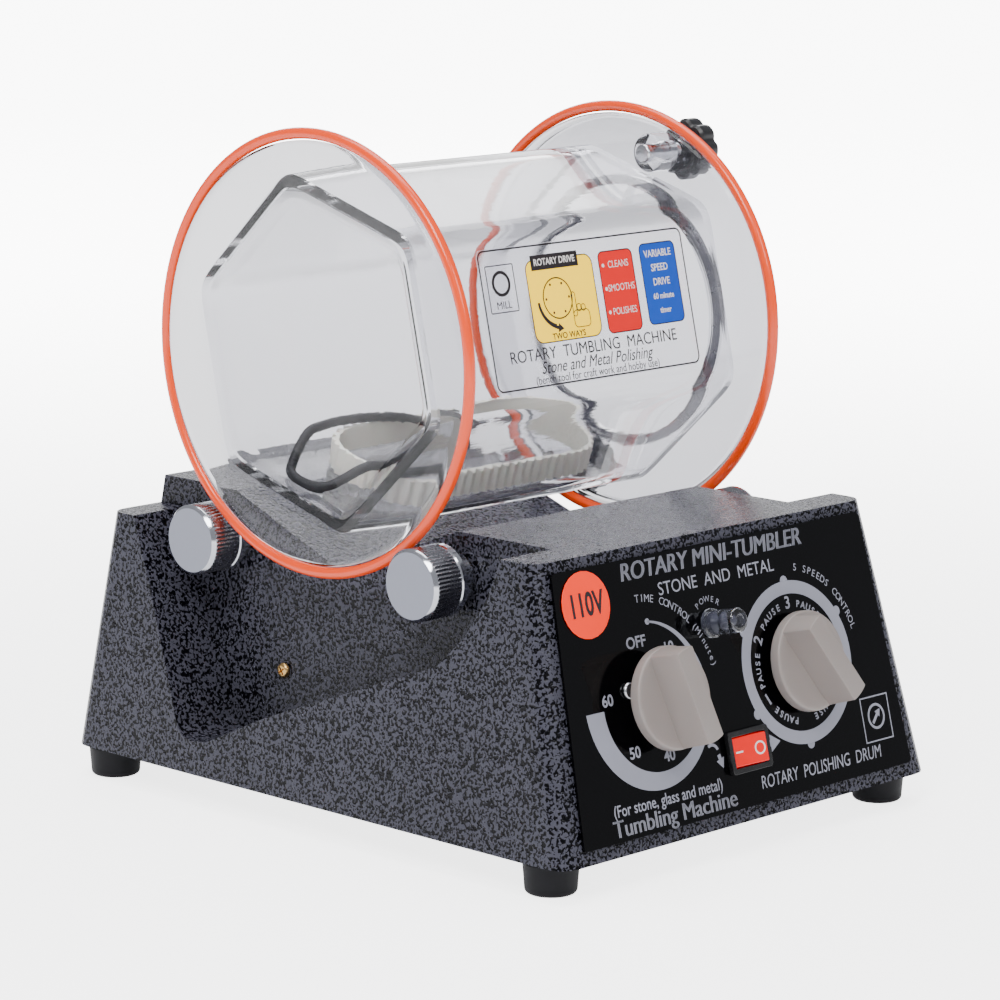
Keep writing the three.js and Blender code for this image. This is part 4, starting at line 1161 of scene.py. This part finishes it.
def steel_stud(i):
    low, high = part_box(f"lid_stud_{i}")
    start, end = low.x - BARREL_AT.x, high.x - BARREL_AT.x
    profile = [(0, start)] + arc_corner((0.0025, start + 0.001), 0.001, -80, 0, 4)
    profile += [(0.0035, start + 0.0026), (0.003, start + 0.0026)]
    thread = start + 0.016
    while thread < end - 0.0008:
        profile += [(0.003, thread), (0.0027, thread + 0.00035)]
        thread += 0.0007
    profile += [(0.0026, end), (0, end)]
    return turned(f"threaded_stud_{i}", profile, 40, stud_frame(i))


def lobed_knob(i):
    """Eight shallow flutes round the rim, a raised hub and a domed top."""
    low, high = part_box(f"lid_knob_{i}")
    start, end = low.x - BARREL_AT.x, high.x - BARREL_AT.x
    size, lobes, flute = 0.0114, 8, 0.115
    profile = [(0, start), (0.0078, start), (0.0078, start + 0.0024), (size - 0.001, start + 0.0026)]
    first = len(profile) - 1
    profile += [(size, start + 0.0036), (size, end - 0.0022), (size - 0.0004, end - 0.0012)]
    profile += [(size - 0.0012, end - 0.0004), (size - 0.0024, end - 0.0001)]
    last = len(profile)
    profile += [(0.006, end - 0.0001), (0.0055, end - 0.0006), (0, end - 0.0006)]

    def fluted(row, angle):
        if not first <= row < last:
            return 1
        return 1 - flute * (0.5 - 0.5 * math.cos(lobes * angle)) ** 2

    return turned(f"lobed_knob_{i}", profile, 160, stud_frame(i), fluted)


seated(lid_disc(), "lid", "clear_plastic", CLEAR, "lid")
seated(lid_seal(), "lid", "black_rubber", SEAL, "lid_gasket")
for i in (1, 2):
    seated(steel_stud(i), "barrel", "steel", STEEL, f"lid_stud_{i}")
    seated(lobed_knob(i), f"lid_knob_{i}", "black_plastic", BLACK_PLASTIC, f"lid_knob_{i}")

# ---------------------------------------------------------------- barrel label
# A clear film stuck on the front facet, printed with a black border, a yellow direction
# tile, a red and a blue panel, and three lines of plain lettering.

FILM = clear_material("label_film", (0.97, 0.97, 0.98), 0.12, ior=1.1, streak=0.02)
LABEL_FACET = math.radians(167)
LABEL_AT = (0.0046, 0.0009)
LABEL_HALF = (0.05325, 0.0254)
DIAL_AT = (-0.0115, 0.0062)
TILES = {
    "yellow": ((-0.0255, -0.009), (0.0085, 0.0205), 0.004),
    "red": ((0.0121, -0.009), (0.0299, 0.0205), 0.0025),
    "blue": ((0.0341, -0.0081), (0.0529, 0.0214), 0.0025),
}
# The yellow ink's strong emission is a painted glow that brightens the tile: ink is no lamp.
YELLOW_INK = finished(
    "yellow_ink", (1.0, 0.64, 0.0), 0.35,
    clouds=0.03, rough_spread=0.05, cloud_scale=200, grain_scale=3000, grain=0.05,
    Emission_Color=(1.0, 0.62, 0.0, 1), Emission_Strength=0.9,
)
RED_INK = finished(
    "red_ink", (0.85, 0.003, 0.002), 0.35,
    clouds=0.03, rough_spread=0.05, cloud_scale=200, grain_scale=3000, grain=0.05,
)
BLUE_INK = finished(
    "blue_ink", (0.0, 0.07, 0.5), 0.35,
    clouds=0.03, rough_spread=0.05, cloud_scale=200, grain_scale=3000, grain=0.05,
)


def on_label(lift):
    up = Vector((0, math.sin(LABEL_FACET), -math.cos(LABEL_FACET)))
    out = Vector((0, math.cos(LABEL_FACET), math.sin(LABEL_FACET)))
    return facing((1, 0, 0), up, out, BARREL_AT + out * (HEX_APOTHEM + 0.0006 + lift))


def rounded_outline(low, high, corner, steps=6):
    points = []
    spots = ((high[0] - corner, high[1] - corner, 0), (low[0] + corner, high[1] - corner, 90),
             (low[0] + corner, low[1] + corner, 180), (high[0] - corner, low[1] + corner, 270))
    for x, y, start in spots:
        points += arc_corner((x, y), corner, start, start + 90, steps)
    return points


def grown(low, high, by):
    """The corners of a rectangle grown on all sides, or shrunk where the amount is negative."""
    return (low[0] - by, low[1] - by), (high[0] + by, high[1] + by)


def ink_border(ink, low, high, corner, line):
    """A rounded frame of even width."""
    outer = rounded_outline(low, high, corner)
    inner = rounded_outline(*grown(low, high, -line), corner - line)
    rings = [[ink.verts.new((x, y, 0)) for x, y in points] for points in (outer, inner)]
    for i in range(len(outer)):
        j = (i + 1) % len(outer)
        ink.faces.new((rings[0][i], rings[0][j], rings[1][j], rings[1][i]))


def label_layer(name, lift, material, draw):
    ink = bmesh.new()
    draw(ink)
    return printed(ink, name, on_label(lift), material, "barrel", "label_print")


def label_black(ink):
    low = (LABEL_AT[0] - LABEL_HALF[0], LABEL_AT[1] - LABEL_HALF[1])
    high = (LABEL_AT[0] + LABEL_HALF[0], LABEL_AT[1] + LABEL_HALF[1])
    ink_border(ink, *grown(low, high, -0.0003), 0.003, 0.0006)
    ink_border(ink, (-0.0455, 0.0035), (-0.0315, 0.0205), 0.0006, 0.0004)
    ink_ring(ink, (-0.0385, 0.0138), 0.0034, 0.0046)
    ink_text(ink, "MILL", 0.0038, (-0.0385, 0.0061))
    for low, high, corner in TILES.values():
        ink_border(ink, *grown(low, high, 0.0002), corner, 0.0004)
    ink_text(ink, "ROTARY  TUMBLING  MACHINE", 0.0062, (0.0035, -0.0128), squeeze=0.98)
    ink_text(ink, "Stone and Metal Polishing", 0.0062, (0.0035, -0.0178), slant=0.35, squeeze=0.9)
    ink_text(ink, "(bench tool for craft work and hobby use)", 0.0042, (0.0035, -0.0219), squeeze=0.9)


def label_dial(ink):
    """On the yellow tile: a black tab, a dial with six dots, a turning arrow and a caption."""
    ink_box(ink, (-0.0225, 0.0168), (0.0015, 0.0222))
    ink_ring(ink, DIAL_AT, 0.0070, 0.0075, 48)
    for angle in range(0, 360, 60):
        ink_ring(ink, polar(DIAL_AT, 0.0058, angle), 0, 0.0005, 10)
    ink_band(ink, DIAL_AT, 185, 255, lambda share: 0.0094, lambda share: 0.0105 + 0.0006 * share, 24)
    arrow(ink, (-0.0142, -0.0040), (-0.0105, -0.0048), 0.0013)
    ink_text(ink, "TWO WAYS", 0.0031, (-0.0085, -0.0073), bold=0.00005)


def label_hand(ink):
    """A pointing hand in outline, made of its finger, fist and cuff."""
    ink_border(ink, (-0.0048, -0.0012), (-0.0026, 0.0078), 0.00105, 0.0003)
    ink_border(ink, (-0.0048, -0.0052), (0.0036, 0.0012), 0.0018, 0.0003)
    ink_border(ink, (-0.0026, 0.0005), (-0.0004, 0.0034), 0.001, 0.0003)
    ink_border(ink, (-0.0004, 0.0005), (0.0018, 0.0031), 0.001, 0.0003)


def label_panel(low, high, corner):
    return lambda ink: ink_face(ink, rounded_outline(low, high, corner))


def label_words(ink):
    """White lettering on the red and blue panels and on the black tab."""
    for i, word in enumerate(("CLEANS", "SMOOTHS", "POLISHES")):
        y = 0.0155 - 0.0085 * i
        ink_ring(ink, (0.0141, y), 0, 0.0007, 12)
        ink_text(ink, word, 0.0036, (0.0220, y), squeeze=0.84)
    for i, word in enumerate(("VARIABLE", "SPEED", "DRIVE", "60 minute", "timer")):
        ink_text(
            ink, word, 0.0037 if i < 3 else 0.003, (0.0435, 0.0175 - 0.0052 * i),
            bold=0.00006, squeeze=0.9,
        )
    ink_text(ink, "ROTARY DRIVE", 0.0034, (-0.0105, 0.0195), bold=0.00006, squeeze=0.9)


rounded_over("barrel_label", "label_film_sheet", 0.0001, 1, "barrel", "label_print", FILM)
for colour, ink in (("yellow", YELLOW_INK), ("red", RED_INK), ("blue", BLUE_INK)):
    label_layer(f"label_print_{colour}", 0.00001, ink, label_panel(*TILES[colour]))
label_layer("label_print_black", 0.00005, BLACK_INK, label_black)
label_layer("label_print_dial", 0.00005, BLACK_INK, label_dial)
label_layer("label_print_hand", 0.00006, BLACK_INK, label_hand)
label_layer("label_print_white", 0.00009, WHITE_INK, label_words)

# ---------------------------------------------------------------- spares in the barrel
# A spare toothed drive belt of cream rubber, standing on its edge with its square teeth
# outwards, and a spare black seal ring lying over it.

FLOOR_FACET = math.radians(107)
FLOOR_UP = Vector((0, math.sin(FLOOR_FACET), -math.cos(FLOOR_FACET)))
FLOOR_OUT = Vector((0, math.cos(FLOOR_FACET), math.sin(FLOOR_FACET)))
ON_FLOOR = facing((1, 0, 0), FLOOR_UP, FLOOR_OUT, BARREL_AT)
FLOOR_LIFT = -(HEX_APOTHEM - HEX_WALL)
FLOOR_GAP = 0.0003
SPARE_BELT_WIDTH = 0.010


def toothed_belt():
    """Two straight runs and two round ends, with a row of teeth along the outer face."""
    start, end, bend = -0.027, 0.046, 0.021
    pitch = 0.0011
    straight = end - start
    total = 2 * straight + 2 * math.pi * bend
    steps = int(total / pitch / 4) * 4
    edit = bmesh.new()
    rows = []
    for i in range(steps):
        along = total * i / steps
        toothed = i % 4 < 2
        if along < straight:
            at, out = Vector((start + along, -bend)), Vector((0, -1))
        elif along < straight + math.pi * bend:
            turn = (along - straight) / bend - math.pi / 2
            out = Vector((math.cos(turn), math.sin(turn)))
            at = Vector((end, 0)) + out * bend
        elif along < 2 * straight + math.pi * bend:
            at, out = Vector((end - (along - straight - math.pi * bend), bend)), Vector((0, 1))
        else:
            turn = (along - 2 * straight - math.pi * bend) / bend + math.pi / 2
            out = Vector((math.cos(turn), math.sin(turn)))
            at = Vector((start, 0)) + out * bend
        at = at + Vector((0, -0.001))
        outer = at + out * (0.0012 if toothed else 0.0001)
        inner = at - out * 0.0009
        low, high = FLOOR_LIFT + FLOOR_GAP, FLOOR_LIFT + FLOOR_GAP + SPARE_BELT_WIDTH
        corners = ((outer, low), (outer, high), (inner, high), (inner, low))
        rows.append([edit.verts.new((*spot, z)) for spot, z in corners])
    skin(edit, rows, closed=True)
    piece = solid("spare_toothed_belt", edit, ON_FLOOR)
    edges = piece.modifiers.new("edges", "BEVEL")
    edges.width = 0.00015
    edges.segments = 1
    return settled(piece)


def seal_ring():
    """A round cord bent into a ring, resting on the floor at one end and on the belt at the other."""
    section, steps, sides = 0.0018, 120, 20
    reach_x, reach_y = 0.038, 0.019
    low = FLOOR_LIFT + FLOOR_GAP + section
    high = FLOOR_LIFT + SPARE_BELT_WIDTH + 2 * FLOOR_GAP + section
    edit = bmesh.new()

    def centre(turn):
        x = -0.032 + reach_x * math.cos(turn)
        share = min(max((x + 0.068) / 0.017, 0), 1)
        share = share * share * (3 - 2 * share)
        return Vector((x, 0.002 + reach_y * math.sin(turn), low + (high - low) * share))

    rings = []
    for i in range(steps):
        turn = 2 * math.pi * i / steps
        ahead = (centre(turn + 0.01) - centre(turn - 0.01)).normalized()
        side = ahead.cross(Vector((0, 0, 1))).normalized()
        over = side.cross(ahead)
        ring = []
        for k in range(sides):
            angle = 2 * math.pi * k / sides
            out = side * math.cos(angle) + over * math.sin(angle)
            ring.append(edit.verts.new(centre(turn) + out * section))
        rings.append(ring)
    skin(edit, rings, closed=True)
    piece = solid("spare_seal_cord", edit, ON_FLOOR)
    piece.data.shade_smooth()
    return piece


seated(toothed_belt(), "barrel", "belt_cream", CREAM_RUBBER, "spare_drive_belt")
seated(seal_ring(), "barrel", "black_rubber", BLACK_RUBBER, "spare_seal_ring")
